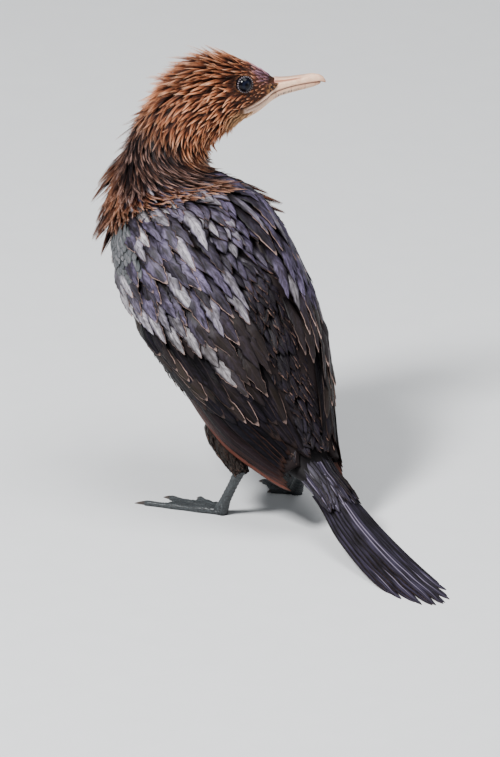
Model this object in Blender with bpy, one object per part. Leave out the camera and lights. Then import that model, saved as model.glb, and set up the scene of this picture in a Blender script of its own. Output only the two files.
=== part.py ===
"""A pygmy cormorant at rest, life size, its head turned over its right shoulder.

The bird stands on the level floor, facing -Y, with its tail laid on the floor behind it.
Sizes below are millimetres; mesh_object turns them into metres. Angles are degrees.
"""

import math
import random

import bmesh
import bpy
from mathutils import Matrix, Vector

MM = 0.001
GAP = 0.3  # between two nodes that touch
SWELL = 0.45  # how far a cutter reaches beyond the node that it keeps clear

# The pose: the trunk's axis starts over the tail's root and climbs forwards.
BODY_PITCH = 46.0
AXIS_START = Vector((0.0, 0.0, 34.0))
HEAD_CENTRE = Vector((-24.1, -140.7, 256.6))
HEAD_TURN = 118.0  # from straight ahead towards the bird's right
UP = Vector((0.0, 0.0, 1.0))

pitch = math.radians(BODY_PITCH)
turned = math.radians(270.0 - HEAD_TURN)
AXIS = Vector((0.0, -math.cos(pitch), math.sin(pitch)))
BACK = Vector((0.0, math.sin(pitch), math.cos(pitch)))
FACING = Vector((math.cos(turned), math.sin(turned), 0.0))
FACE_LEFT = UP.cross(FACING)


def along_trunk(distance, sag=0.0):
    """A point that far along the trunk's axis from the tail's root, and so far below it."""
    return AXIS_START + AXIS * distance - BACK * sag


def at_head(forward, up, left=0.0):
    """A point placed from the middle of the head, along the way that the bill points."""
    return HEAD_CENTRE + FACING * forward + UP * up + FACE_LEFT * left


# The body as one tube from the tail's root to the bill: the middle of each section, the way
# its back faces, its half width, and how far it reaches to the back and to the belly.
SECTIONS = (
    (Vector((0.0, 10.0, 36.5)), Vector((0.0, 0.4, 0.9)), 13.0, 6.0, 7.0),
    (Vector((0.0, -3.0, 41.0)), Vector((0.0, 0.5, 0.86)), 17.0, 9.5, 11.0),
    (along_trunk(40.0, 2.0), BACK, 31.0, 21.0, 26.0),
    (along_trunk(80.0, 5.0), BACK, 47.0, 34.0, 42.0),
    (along_trunk(120.0, 7.0), BACK, 55.0, 42.0, 50.0),
    (along_trunk(160.0, 7.5), BACK, 56.0, 43.5, 51.0),
    (along_trunk(190.0, 7.0), BACK, 51.0, 40.0, 47.0),
    (along_trunk(213.0, 6.0), Vector((0.25, 0.75, 0.6)), 43.0, 32.0, 41.0),
    (Vector((1.0, -158.5, 203.0)), Vector((0.7, 0.6, 0.3)), 29.0, 27.0, 28.5),
    (Vector((-3.0, -158.0, 221.0)), Vector((0.89, -0.3, 0.29)), 24.0, 26.5, 21.5),
    (at_head(-17.0, -17.5), Vector((0.57, -0.49, 0.65)), 21.5, 27.0, 22.5),
    (at_head(-2.0, -4.0), Vector((0.3, -0.2, 0.9)), 20.0, 29.0, 24.5),
    (at_head(12.0, 1.0), UP, 18.5, 25.0, 23.0),
    (at_head(23.0, 2.5), UP, 15.5, 20.5, 20.0),
    (at_head(33.0, 3.0), UP, 11.0, 12.5, 14.5),
    (at_head(42.0, 3.0), UP, 6.5, 6.5, 10.5),
    (at_head(50.0, 3.5), UP, 4.0, 4.5, 6.5),
)
TRUNK_TO_NECK = 7  # the section where the neck starts
NECK_TO_HEAD = 10
TRACK_STEP = 2.0
TRACK_PASSES = 50
HEAD_PULL = 0.2
RING_POINTS = 24
TRUNK_STEP = 11.0
HEAD_RING_STEP = 6.0
WING_CORE_ROWS = 12
KEPT_TRIANGLES = 0.55


class Track:
    """The body's tube by distance along it: sections joined by lines and then rounded off."""

    def __init__(self, sections):
        self.stops = [0.0]
        for here, there in zip(sections, sections[1:]):
            self.stops.append(self.stops[-1] + (there[0] - here[0]).length)
        count = math.ceil(self.stops[-1] / TRACK_STEP)
        self.step = self.stops[-1] / count
        self.places, self.backs, self.sizes = [], [], []
        for k in range(count + 1):
            passed = [j for j in range(len(sections)) if self.stops[j] <= k * self.step + 1e-6]
            i = min(passed[-1], len(sections) - 2)
            share = (k * self.step - self.stops[i]) / (self.stops[i + 1] - self.stops[i])
            here, there = sections[i], sections[i + 1]
            self.places.append(here[0].lerp(there[0], share))
            self.backs.append(here[1].normalized().lerp(there[1].normalized(), share))
            self.sizes.append(Vector(here[2:]).lerp(Vector(there[2:]), share))
        for _ in range(TRACK_PASSES):
            for values in (self.places, self.backs, self.sizes):
                self.round_off(values)

    def round_off(self, values):
        """Draws each value towards its neighbours' mean, less so in the head."""
        before = list(values)
        for k in range(1, len(values) - 1):
            into_head = (k * self.step - self.stops[NECK_TO_HEAD - 1]) / 40.0
            pull = 0.5 * (1.0 - (1.0 - HEAD_PULL) * min(max(into_head, 0.0), 1.0))
            values[k] = before[k] * (1.0 - pull) + (before[k - 1] + before[k + 1]) * (pull / 2)

    def frame(self, distance):
        """The section there: its middle, its way forward, back and left, and its three sizes."""
        place = min(max(distance / self.step, 0.0), len(self.places) - 1.001)
        k = int(place)
        share = place - k

        def way(i):
            return (self.places[min(i + 1, len(self.places) - 1)] - self.places[max(i - 1, 0)]).normalized()

        forward = way(k).lerp(way(k + 1), share).normalized()
        back = self.backs[k].lerp(self.backs[k + 1], share)
        back = (back - forward * back.dot(forward)).normalized()
        middle = self.places[k].lerp(self.places[k + 1], share)
        return middle, forward, back, back.cross(forward), self.sizes[k].lerp(self.sizes[k + 1], share)

    def point(self, distance, angle, lift=0.0):
        """A point over the tube's surface. Angle 0 is the back, and 90 the bird's left."""
        middle, _, back, left, (half_width, high, deep) = self.frame(distance)
        turn = math.radians(angle)
        reach = high if math.cos(turn) > 0 else deep
        return (
            middle
            + left * (math.sin(turn) * (half_width + lift))
            + back * (math.cos(turn) * (reach + lift))
        )


body = Track(SECTIONS)
NECK_START = body.stops[TRUNK_TO_NECK]
HEAD_START = body.stops[NECK_TO_HEAD]

# The folded wing's core on the trunk: distance from the tail's root, the angles of its
# upper and lower edge round the body, and how far it stands off the trunk.
WING_OUTLINE = (
    (210.0, 52.0, 84.0, 2.5),
    (200.0, 34.0, 104.0, 4.5),
    (180.0, 22.0, 108.0, 5.0),
    (145.0, 15.0, 107.0, 4.6),
    (110.0, 10.0, 105.0, 4.2),
    (80.0, 8.0, 104.0, 3.6),
    (56.0, 9.0, 103.0, 3.0),
    (38.0, 14.0, 101.0, 2.4),
    (24.0, 28.0, 99.0, 1.8),
    (14.0, 52.0, 96.0, 1.4),
)
WING_THICKNESS = 4.2
WING_EDGE = 0.9
WING_SINK = -2.5  # how far the core first reaches into the trunk, before it is cut clear
WING_COLUMNS = 8
# How far the lower edge hangs away from the body towards the rear, on each side.
WING_DROOP = {1: 9.0, -1: 2.5}

# The wing's feathers in tiers, from the lowest to the topmost. Each row gives its count, then
# the sunk start and the tip of its outermost and its innermost feather as distance and
# angle, half width, and the height of the tips over the core.
WING_ROWS = (
    (6, (112.0, 106.0), (64.0, 72.0), (8.0, 102.0), (34.0, 58.0), 5.0, 1.2),
    (8, (150.0, 102.0), (94.0, 26.0), (80.0, 98.0), (16.0, 20.0), 6.6, 1.9),
    (8, (171.0, 104.0), (108.0, 42.0), (146.0, 106.0), (72.0, 50.0), 6.6, 2.2),
    (7, (187.0, 102.0), (138.0, 42.0), (164.0, 104.0), (100.0, 46.0), 7.4, 2.2),
    (5, (200.0, 94.0), (160.0, 44.0), (180.0, 101.0), (128.0, 47.0), 9.2, 2.0),
    (4, (206.0, 84.0), (184.0, 50.0), (194.0, 96.0), (152.0, 50.0), 9.0, 1.8),
    (5, (186.0, 42.0), (160.0, 16.0), (120.0, 42.0), (60.0, 11.0), 6.2, 4.2),
    (3, (206.0, 44.0), (200.0, 24.0), (162.0, 42.0), (112.0, 15.0), 7.4, 4.6),
)
VANE_THICKNESS = 0.65
VANE_ROOT_DEPTH = 2.0
MOST_TILT = 1.5
BODY_ROUND = 48.0  # the radius that a feather bends to across its width

# The bill, placed from the middle of the head: forward, height of the mouth's line, half
# width, and how far the upper and the lower half reach from that line.
BILL_STATIONS = (
    (22.0, -9.5, 7.6, 10.0, 9.0),
    (30.0, -5.8, 7.0, 13.0, 8.6),
    (38.3, -1.1, 5.8, 10.6, 6.6),
    (44.0, 0.8, 4.9, 7.6, 5.2),
    (50.5, 2.4, 4.1, 5.9, 5.2),
    (58.0, 3.5, 3.5, 5.4, 4.7),
    (66.0, 4.3, 3.1, 5.4, 3.9),
    (71.0, 4.5, 2.4, 4.2, 2.6),
)
HOOK = ((73.6, 3.6, 1.6, 3.4), (75.2, 3.0, 0.8, 1.4))
LOWER_TIP = ((70.6, 4.4, 2.0, 2.4), (71.8, 3.9, 1.2, 1.1))
BILL_CUT = at_head(36.0, -1.5)  # a point on the slanting line where the feathers end
BILL_CUT_SLANT = 40.0
BILL_ARCH = 11
NOSTRIL = (42.0, 62.0)  # the groove of the closed nostril runs between these places
NOSTRIL_DEPTH = 0.7
GAPE = (20.0, -9.0)  # the corner of the mouth, under the eye
MOUTH_CUT_HEIGHT = 0.7
MOUTH_CUT_DEPTH = 1.6

EYE_RADIUS = 5.6
EYE_FORWARD = 18.6
EYE_UP = 9.7
EYE_SIDE = 13.4
LID_RADIUS = 5.1
LID_THICKNESS = 0.9

# Bristly locks over head and neck, in staggered rows round the body's tube.
NECK_ROWS = (0.83, 0.62, 0.41, 0.2)  # shares of the neck's length
LOCK_WIDTH = 0.86  # share of the room between one lock and the next
MOST_LOCK_WIDTH = 9.0
LOCK_THICKNESS = 1.4
LOCK_ROOT_DEPTH = 2.0
FACE_CLEAR = 9.5  # no lock grows this near to an eye's middle

# The tail's twelve feathers fan from a root behind the trunk and come down to the floor.
TAIL_PAIRS = 6
TAIL_LENGTH = 150.0
TAIL_STEP = 1.3  # each pair is shorter than the last by this times an odd number
TAIL_FLOOR = 118.0  # from here on the tail lies flat
TAIL_SWING = 9.0
TAIL_HALF_WIDTH = 4.7
TAIL_LAYER = 1.0
TAIL_ROOT_LENGTH = 16.0
TAIL_ROOT_SPACING = 1.7
TAIL_TIP_SPACING = 3.9
TAIL_PAIRING = 0.95  # how far the feathers draw together in twos at their tips

# Legs, for the bird's left side; the right one is mirrored.
HEEL = Vector((29.0, -43.0, 35.0))
FOOT = Vector((31.0, -60.0, 4.5))
THIGH_TOP = Vector((23.0, -66.0, 72.0))
THIGH_RADII = (13.0, 15.0, 13.0, 8.0, 4.6)
SHANK_RADII = (3.9, 3.1, 3.4, 4.4)
FOOT_SPLAY = 16.0
# Each toe: length, turn outwards from the foot's line, and width at its root.
TOES = ((62.0, 17.0, 6.4), (51.0, -3.0, 6.0), (36.0, -25.0, 5.2), (22.0, -62.0, 4.2))
TOE_HEIGHT = 4.4
# Along a toe: share of its length, of its width and of its height. The last are the claw.
TOE_SHAPE = (
    (0.0, 0.9, 1.0),
    (0.3, 0.9, 0.85),
    (0.6, 0.75, 0.7),
    (0.86, 0.6, 0.6),
    (0.9, 0.42, 0.75),
    (0.96, 0.3, 0.55),
    (1.02, 0.14, 0.2),
)
WEB_REACH = 0.82
WEB_SAG = 0.16
WEB_LIFT = 0.4
WEB_THICKNESS = 1.3

# Shapes along a blade or a lock: where its sections lie, and its width there.
LONG_FEATHER = 48.0
LONG_STOPS = (0.0, 0.3, 0.62, 0.9, 1.0)
LONG_SHAPE = (0.8, 0.95, 1.0, 0.75, 0.25)
SHORT_STOPS = (0.0, 0.4, 0.8, 1.0)
SHORT_SHAPE = (0.8, 1.0, 0.8, 0.2)
LOCK_STOPS = (0.0, 0.4, 0.75, 1.0)
LOCK_SHAPE = (0.75, 1.0, 0.6, 0.12)
TAIL_STOPS = (0.0, 0.25, 0.6, 0.92, 1.0)
TAIL_SHAPE = (0.75, 0.95, 0.8, 0.46, 0.16)

COLOURS = {
    "plumage_dark": ((0.045, 0.036, 0.040, 1.0), 0.55),
    "plumage_wing": ((0.130, 0.115, 0.135, 1.0), 0.50),
    "plumage_rufous": ((0.180, 0.070, 0.035, 1.0), 0.65),
    "horn": ((0.620, 0.440, 0.340, 1.0), 0.40),
    "foot_skin": ((0.030, 0.034, 0.038, 1.0), 0.45),
    "claw": ((0.020, 0.018, 0.018, 1.0), 0.35),
    "eye": ((0.010, 0.010, 0.016, 1.0), 0.05),
}


def clear_scene():
    for old in list(bpy.data.objects):
        bpy.data.objects.remove(old)


def finish_of(name):
    """The material of that name, made once."""
    made = bpy.data.materials.get(name)
    if made is None:
        made = bpy.data.materials.new(name)
        made.use_nodes = True
        colour, roughness = COLOURS[name]
        shader = made.node_tree.nodes["Principled BSDF"]
        shader.inputs["Base Color"].default_value = colour
        shader.inputs["Roughness"].default_value = roughness
        shader.inputs["Metallic"].default_value = 0.0
    return made


def mesh_object(name, points, faces, finish=None):
    """An object from points in millimetres, with its faces turned outwards."""
    mesh = bpy.data.meshes.new(name)
    mesh.from_pydata([Vector(p) * MM for p in points], [], faces)
    work = bmesh.new()
    work.from_mesh(mesh)
    bmesh.ops.recalc_face_normals(work, faces=work.faces)
    work.to_mesh(mesh)
    work.free()
    made = bpy.data.objects.new(name, mesh)
    bpy.context.scene.collection.objects.link(made)
    if finish:
        mesh.materials.append(finish_of(finish))
    return made


def lofted(rings, thin=False):
    """Points and faces of a closed body through rings of equally many points, capped flat.

    A thin body is split into triangles alike on both faces, so that they don't cross.
    """
    count = len(rings[0])
    points = [p for ring in rings for p in ring]
    faces = []
    for r in range(len(rings) - 1):
        for i in range(count):
            j = (i + 1) % count
            low, high = r * count, (r + 1) * count
            if thin and i >= count // 2:
                faces.append((low + i, low + j, high + i))
                faces.append((low + j, high + j, high + i))
            else:
                faces.append((low + i, low + j, high + j))
                faces.append((low + i, high + j, high + i))
    faces.append(tuple(range(count)))
    last = (len(rings) - 1) * count
    faces.append(tuple(range(last, last + count)))
    return points, faces


def tube_rings(start, end, step, lift=0.0, trims=(0.0, 0.0)):
    """Rings of the body's tube between two distances, with the ends moved inwards by the trims."""
    count = max(2, round((end - start) / step))
    rings = []
    for i in range(count + 1):
        distance = start + (end - start) * i / count
        shift = body.frame(distance)[1] * (trims[0] if i == 0 else -trims[1] if i == count else 0.0)
        turns = (360.0 * k / RING_POINTS for k in range(RING_POINTS))
        rings.append([body.point(distance, turn, lift) + shift for turn in turns])
    return rings


def applied(obj):
    """Applies the object's modifiers."""
    graph = bpy.context.evaluated_depsgraph_get()
    mesh = bpy.data.meshes.new_from_object(obj.evaluated_get(graph))
    obj.modifiers.clear()
    obj.data = mesh
    return obj


def cut_by(obj, cutter, operation="DIFFERENCE", keep_cutter=False):
    """One Boolean with one other object, applied."""
    step = obj.modifiers.new("cut", "BOOLEAN")
    step.operation = operation
    step.solver = "EXACT"
    step.object = cutter
    applied(obj)
    if not keep_cutter:
        bpy.data.objects.remove(cutter)
    return keep_largest(obj)


def keep_largest(obj):
    """Drops every closed surface but the largest, and merges points that lie together."""
    work = bmesh.new()
    work.from_mesh(obj.data)
    bmesh.ops.remove_doubles(work, verts=work.verts, dist=1e-7)
    unseen = set(work.faces)
    shells = []
    while unseen:
        shell, edge = [], [unseen.pop()]
        while edge:
            face = edge.pop()
            shell.append(face)
            for line in face.edges:
                for other in line.link_faces:
                    if other in unseen:
                        unseen.remove(other)
                        edge.append(other)
        shells.append(shell)
    shells.sort(key=lambda shell: sum(face.calc_area() for face in shell))
    for shell in shells[:-1]:
        bmesh.ops.delete(work, geom=shell, context="FACES")
    work.to_mesh(obj.data)
    work.free()
    return obj


def joined(obj, pieces):
    """One union of the object with a collection of closed pieces, which are then removed."""
    group = bpy.data.collections.new("pieces")
    bpy.context.scene.collection.children.link(group)
    for piece in pieces:
        bpy.context.scene.collection.objects.unlink(piece)
        group.objects.link(piece)
    step = obj.modifiers.new("join", "BOOLEAN")
    step.operation = "UNION"
    step.solver = "MANIFOLD"
    step.operand_type = "COLLECTION"
    step.collection = group
    applied(obj)
    for piece in pieces:
        bpy.data.objects.remove(piece)
    bpy.data.collections.remove(group)
    return keep_largest(obj)


def thinned(obj, seams=()):
    """Collapses short edges round the roots, except on the flat faces at the seams.

    Each seam is a distance along the body's tube, whose section is kept whole.
    """
    free = obj.vertex_groups.new(name="free")
    planes = [body.frame(seam)[:2] for seam in seams]
    for point in obj.data.vertices:
        place = point.co / MM
        if all(abs((place - middle).dot(forward)) > 1.0 for middle, forward in planes):
            free.add([point.index], 1.0, "REPLACE")
    step = obj.modifiers.new("thin", "DECIMATE")
    step.ratio = KEPT_TRIANGLES
    step.use_collapse_triangulate = True
    step.vertex_group = "free"
    step.vertex_group_factor = 1.0
    applied(obj)
    obj.vertex_groups.clear()
    return obj


def sliced(obj, place, normal):
    """Cuts the object flat, and drops what lies on the side that the normal points to."""
    work = bmesh.new()
    work.from_mesh(obj.data)
    geometry = list(work.verts) + list(work.edges) + list(work.faces)
    cut = bmesh.ops.bisect_plane(
        work,
        geom=geometry,
        plane_co=Vector(place) * MM,
        plane_no=normal,
        clear_outer=True,
        dist=1e-7,
    )
    rim = [e for e in cut["geom_cut"] if isinstance(e, bmesh.types.BMEdge)]
    bmesh.ops.contextual_create(work, geom=rim)
    bmesh.ops.recalc_face_normals(work, faces=work.faces)
    work.to_mesh(obj.data)
    work.free()
    return obj


def ball(name, middle, radius, finish=None):
    """A ball from bmesh, centred in millimetres."""
    work = bmesh.new()
    bmesh.ops.create_uvsphere(work, u_segments=14, v_segments=8, radius=radius * MM)
    bmesh.ops.translate(work, verts=work.verts, vec=Vector(middle) * MM)
    mesh = bpy.data.meshes.new(name)
    work.to_mesh(mesh)
    work.free()
    made = bpy.data.objects.new(name, mesh)
    bpy.context.scene.collection.objects.link(made)
    if finish:
        mesh.materials.append(finish_of(finish))
    return made


def make_trunk():
    rings = tube_rings(0.0, NECK_START, TRUNK_STEP, 0.0, (0.0, GAP / 2))
    return mesh_object("torso", *lofted(rings), "plumage_dark")


def trunk_cutter():
    """The trunk swollen by the gap, to cut what lies on it or behind it clear."""
    rings = tube_rings(0.0, NECK_START, TRUNK_STEP, SWELL, (-GAP, -0.4 * GAP))
    return mesh_object("cutter", *lofted(rings))


def neck_cutter():
    """The neck swollen by the gap, to cut the head's locks clear of it."""
    rings = tube_rings(NECK_START, HEAD_START, HEAD_RING_STEP, SWELL, (GAP / 2, -0.4 * GAP))
    return mesh_object("cutter", *lofted(rings))


def surface_frames(route):
    """Places along a route of (distance, angle, lift), each with its side way and normal."""
    places = [body.point(*stop) for stop in route]
    frames = []
    for i, (distance, angle, lift) in enumerate(route):
        outwards = body.point(distance, angle, lift + 1.0) - places[i]
        ahead = places[min(i + 1, len(places) - 1)] - places[max(i - 1, 0)]
        side = ahead.cross(outwards).normalized()
        frames.append((places[i], side, side.cross(ahead).normalized()))
    return frames


def vane(frames, widths, tilts, thickness=VANE_THICKNESS, shaft=0.0):
    """A feather's blade: a thin closed strip, with a low ridge where its shaft is told to show."""
    rings = []
    for (place, side, normal), width, tilt in zip(frames, widths, tilts):
        drop = 0.0 if shaft else width**2 / (2 * BODY_ROUND)
        left = place + side * width + normal * (tilt - drop)
        right = place - side * width - normal * (tilt + drop)
        ring = [left, right, right + normal * thickness, left + normal * thickness]
        if shaft:
            ring.insert(1, place.copy())
            ring.insert(4, place + normal * (thickness + shaft))
        rings.append(ring)
    return mesh_object("vane", *lofted(rings, thin=True))


def lock(frames, width, thickness):
    """A flat tapered lock: widest a third of the way along, and pointed."""
    rings = []
    for (place, side, normal), share in zip(frames, LOCK_SHAPE):
        half, deep = width / 2 * share, thickness / 2 * (0.35 + 0.65 * share)
        left, right = place + side * half, place - side * half
        rings.append([left, place + normal * deep, right, place - normal * deep])
    return mesh_object("lock", *lofted(rings, thin=True))


def body_lock(distance, angle, length, width, rise, drift):
    """A lock on the body's tube that follows the lie of the coat, towards the tail.

    Inside a bend of the tube, where the way along it is short, the lock is small.
    """
    way = (body.point(distance - length, angle) - body.point(distance, angle)).length
    scale = min(1.0, way / length)
    depth = LOCK_ROOT_DEPTH * scale
    route = []
    for share in LOCK_STOPS:
        lift = -depth + (rise * scale + depth) * share
        route.append((distance - length * share, angle + drift * share, lift))
    return lock(surface_frames(route), width, LOCK_THICKNESS * max(scale, 0.5))


def lock_rows(rows, draw):
    """Locks in staggered rows: each its distance, count, length, rise, first and last angle."""
    locks = []
    for r, (distance, count, length, rise, first, last) in enumerate(rows):
        pitch = (last - first) / count
        for i in range(count):
            angle = first + pitch * (i + 0.25 + 0.5 * (r % 2))
            root = body.point(distance, angle)
            if min((root - eye_middle(side)).length for side in (1, -1)) < FACE_CLEAR:
                continue
            middle = distance - length / 2
            room = (body.point(middle, angle + pitch) - body.point(middle, angle)).length
            locks.append(
                body_lock(
                    distance + draw.uniform(-0.6, 0.6),
                    angle,
                    length * draw.uniform(0.92, 1.08),
                    min(LOCK_WIDTH * room, MOST_LOCK_WIDTH),
                    rise * draw.uniform(0.85, 1.15),
                    draw.uniform(-2.0, 2.0),
                )
            )
    return locks


def make_neck():
    rings = tube_rings(NECK_START, HEAD_START, HEAD_RING_STEP, 0.0, (GAP / 2, GAP / 2))
    neck = mesh_object("neck", *lofted(rings), "plumage_rufous")
    draw = random.Random(21)
    length = HEAD_START - NECK_START
    rows = [(NECK_START + length * share, 11, 15.0, 4.2, 0.0, 360.0) for share in NECK_ROWS]
    ruffle = [(NECK_START + 13.0, 4, 21.0, 11.0, 92.0, 160.0)]
    joined(neck, lock_rows(rows, draw) + lock_rows(ruffle, draw))
    thinned(neck, (NECK_START, HEAD_START))
    return cut_by(neck, trunk_cutter())


def bill_slant():
    """The way forward and out of the head, square to the plane where the bill starts."""
    slant = math.radians(BILL_CUT_SLANT)
    return (FACING * math.cos(slant) - UP * math.sin(slant)).normalized()


def eye_middle(side):
    return at_head(EYE_FORWARD, EYE_UP, side * EYE_SIDE)


def lid_ring(side):
    """A raised ring of skin round the eye."""
    outwards = (FACE_LEFT * side + UP * 0.12 + FACING * 0.25).normalized()
    across = outwards.cross(UP).normalized()
    over = across.cross(outwards).normalized()
    middle = eye_middle(side) + outwards * 2.6
    around, section = 16, 5
    points, faces = [], []
    for i in range(around):
        turn = math.tau * i / around
        spoke = across * math.cos(turn) + over * math.sin(turn)
        for k in range(section):
            tilt = math.tau * k / section
            reach = LID_RADIUS + LID_THICKNESS * math.cos(tilt)
            points.append(middle + spoke * reach + outwards * (LID_THICKNESS * math.sin(tilt)))
            here, there = i * section, (i + 1) % around * section
            m = (k + 1) % section
            faces.append((here + k, here + m, there + m, there + k))
    return mesh_object("lid", points, faces)


def mouth_cutter(side):
    """A thin wedge that cuts the line of the mouth into the cheek, from the bill to the gape."""
    ends = ((GAPE[0], GAPE[1]), (30.0, -5.8), (40.0, -0.4))
    half = MOUTH_CUT_HEIGHT / 2
    rings = []
    for forward, up in ends:
        distance = HEAD_START + (body.stops[-1] - HEAD_START) * (forward + 17.0) / 67.0
        rim = body.frame(distance)[4][0] * 0.97
        rings.append(
            [
                at_head(forward, up - half, side * (rim - MOUTH_CUT_DEPTH)),
                at_head(forward, up + half, side * (rim - MOUTH_CUT_DEPTH)),
                at_head(forward, up + half, side * (rim + 6.0)),
                at_head(forward, up - half, side * (rim + 6.0)),
            ]
        )
    return mesh_object("mouth", *lofted(rings))


def make_head():
    rings = tube_rings(HEAD_START, body.stops[-1], HEAD_RING_STEP, 0.0, (GAP / 2, 0.0))
    head = mesh_object("head", *lofted(rings), "plumage_rufous")
    draw = random.Random(7)
    rows = [
        (HEAD_START + 6.5, 11, 15.0, 4.4, 0.0, 360.0),
        (HEAD_START + 14.5, 11, 14.0, 4.4, 0.0, 360.0),
        (HEAD_START + 22.5, 10, 13.0, 4.4, 0.0, 360.0),
        (HEAD_START + 30.5, 10, 12.0, 4.0, 0.0, 360.0),
        (HEAD_START + 38.0, 9, 10.0, 3.2, 0.0, 360.0),
        (HEAD_START + 44.0, 3, 8.0, 2.4, -50.0, 50.0),
    ]
    joined(head, lock_rows(rows, draw))
    thinned(head, (HEAD_START,))
    sliced(head, BILL_CUT - bill_slant() * (GAP / 2), bill_slant())
    joined(head, [lid_ring(1), lid_ring(-1)])
    cut_by(head, neck_cutter())
    for side in (1, -1):
        cut_by(head, ball("socket", eye_middle(side), EYE_RADIUS + GAP))
        cut_by(head, mouth_cutter(side))
    return head


def bill_half(name, stations, sign):
    """Half of the bill: flat along the mouth, and an arch away from it."""
    rings = []
    for forward, mouth, half_width, reach in stations:
        ring = []
        for i in range(BILL_ARCH):
            turn = math.pi * i / (BILL_ARCH - 1)
            side = -half_width * math.cos(turn)
            height = reach * math.sin(turn) ** 0.8
            if sign > 0 and i in (2, BILL_ARCH - 3) and NOSTRIL[0] < forward < NOSTRIL[1]:
                side *= 1.0 - NOSTRIL_DEPTH / half_width
            ring.append(at_head(forward, mouth + sign * (GAP / 2 + height), side))
        rings.append(ring)
    half = mesh_object(name, *lofted(rings), "horn")
    return sliced(half, BILL_CUT + bill_slant() * (GAP / 2), -bill_slant())


def make_bill():
    upper = [(f, m, w, up) for f, m, w, up, _ in BILL_STATIONS] + list(HOOK)
    lower = [(f, m, w, down) for f, m, w, _, down in BILL_STATIONS[:-1]] + list(LOWER_TIP)
    bill_half("bill_upper", upper, 1)
    bill_half("bill_lower", lower, -1)


def make_eyes():
    for name, side in (("eye_left", 1), ("eye_right", -1)):
        ball(name, eye_middle(side), EYE_RADIUS, "eye")


def smooth(share):
    share = min(max(share, 0.0), 1.0)
    return share * share * (3 - 2 * share)


def wing_edge_at(distance):
    """The core's upper angle, lower angle and stand-off at a distance."""
    rows = WING_OUTLINE
    distance = min(max(distance, rows[-1][0]), rows[0][0])
    i = max(k for k in range(len(rows) - 1) if rows[k][0] >= distance)
    share = (rows[i][0] - distance) / (rows[i][0] - rows[i + 1][0])
    return [here + (there - here) * share for here, there in zip(rows[i][1:], rows[i + 1][1:])]


def wing_lift(side, distance, angle):
    """How far the core's outer face stands off the trunk. The angle is without its sign."""
    upper, lower, stand = wing_edge_at(distance)
    across = min(max((angle - upper) / (lower - upper), 0.0), 1.0)
    swell = (4 * across * (1 - across)) ** 0.5
    hang = smooth((angle - 45.0) / 60.0) * smooth((105.0 - distance) / 60.0)
    return WING_EDGE + stand * swell + WING_DROOP[side] * hang


def wing_core(name, side):
    """The folded wing as one smooth blade over the trunk, which carries the feathers."""
    first, last = WING_OUTLINE[0][0], WING_OUTLINE[-1][0]
    rows = WING_CORE_ROWS
    outer, inner = [], []
    for r in range(rows + 1):
        distance = first + (last - first) * r / rows
        upper, lower, _ = wing_edge_at(distance)
        for c in range(WING_COLUMNS + 1):
            angle = upper + (lower - upper) * c / WING_COLUMNS
            lift = wing_lift(side, distance, angle)
            outer.append(body.point(distance, side * angle, lift))
            under = max(WING_SINK, lift - WING_THICKNESS)
            inner.append(body.point(distance, side * angle, under))
    width, shift = WING_COLUMNS + 1, len(outer)
    faces = []
    for r in range(rows):
        for c in range(WING_COLUMNS):
            a, b = r * width + c, (r + 1) * width + c
            faces += [(a, a + 1, b + 1), (a, b + 1, b)]
            a, b = a + shift, b + shift
            faces += [(a, b + 1, a + 1), (a, b, b + 1)]
    rim = list(range(width))
    rim += [r * width + WING_COLUMNS for r in range(1, rows + 1)]
    rim += [rows * width + c for c in range(WING_COLUMNS - 1, -1, -1)]
    rim += [r * width for r in range(rows - 1, 0, -1)]
    for here, there in zip(rim, rim[1:] + rim[:1]):
        faces += [(here, there, there + shift), (here, there + shift, here + shift)]
    return mesh_object(name, outer + inner, faces, "plumage_wing")


def wing_feather_route(side, root, tip, height):
    """Where one feather of the folded wing runs, from its sunk start to its tip."""
    long = (root[0] - tip[0]) > LONG_FEATHER
    route = []
    for share in LONG_STOPS if long else SHORT_STOPS:
        distance = root[0] + (tip[0] - root[0]) * share
        angle = root[1] + (tip[1] - root[1]) * share
        rise = min(1.0, share * 1.7) ** 0.9
        lift = wing_lift(side, distance, angle) - VANE_ROOT_DEPTH
        lift += (height + VANE_ROOT_DEPTH) * rise
        route.append((distance, side * angle, lift))
    return route, LONG_SHAPE if long else SHORT_SHAPE


def wing_feathers(side, draw):
    """All the wing's feathers. Each tilts as far as it takes to lie clear of its neighbour."""
    made = []
    for count, outer_root, inner_root, outer_tip, inner_tip, half_width, height in WING_ROWS:
        routes = []
        for i in range(count + 1):
            share = i / (count - 1)
            root, tip = (
                [a + (b - a) * share for a, b in zip(*ends)]
                for ends in ((outer_root, inner_root), (outer_tip, inner_tip))
            )
            tip[0] += draw.uniform(-1.5, 1.5)
            routes.append(wing_feather_route(side, root, tip, height))
        for (route, shape), (neighbour, _) in zip(routes, routes[1:]):
            frames = surface_frames(route)
            widths = [half_width * part for part in shape]
            tilts = []
            for (place, *_), other, width in zip(frames, neighbour, widths):
                pitch = (body.point(*other) - place).length
                tilts.append(side * min(MOST_TILT, (VANE_THICKNESS + 1.4 * GAP) * width / pitch))
            made.append(vane(frames, widths, tilts))
    return made


def make_wings():
    for name, side in (("wing_left", 1), ("wing_right", -1)):
        core = wing_core(name, side)
        joined(core, wing_feathers(side, random.Random(3)))
        thinned(core)
        cut_by(core, trunk_cutter())


def tail_height(reach, layer):
    """How high a tail feather lies, with those under it ending one after another."""
    root_height = SECTIONS[0][0].z - 6.0
    height = root_height * (1.0 - min(reach / TAIL_FLOOR, 1.0)) ** 1.55
    for under in range(layer + 1, TAIL_PAIRS):
        height += TAIL_LAYER * smooth((tail_length(under) - reach) / 14.0)
    return height


def tail_length(layer):
    return TAIL_LENGTH - TAIL_STEP * layer * layer


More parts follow.
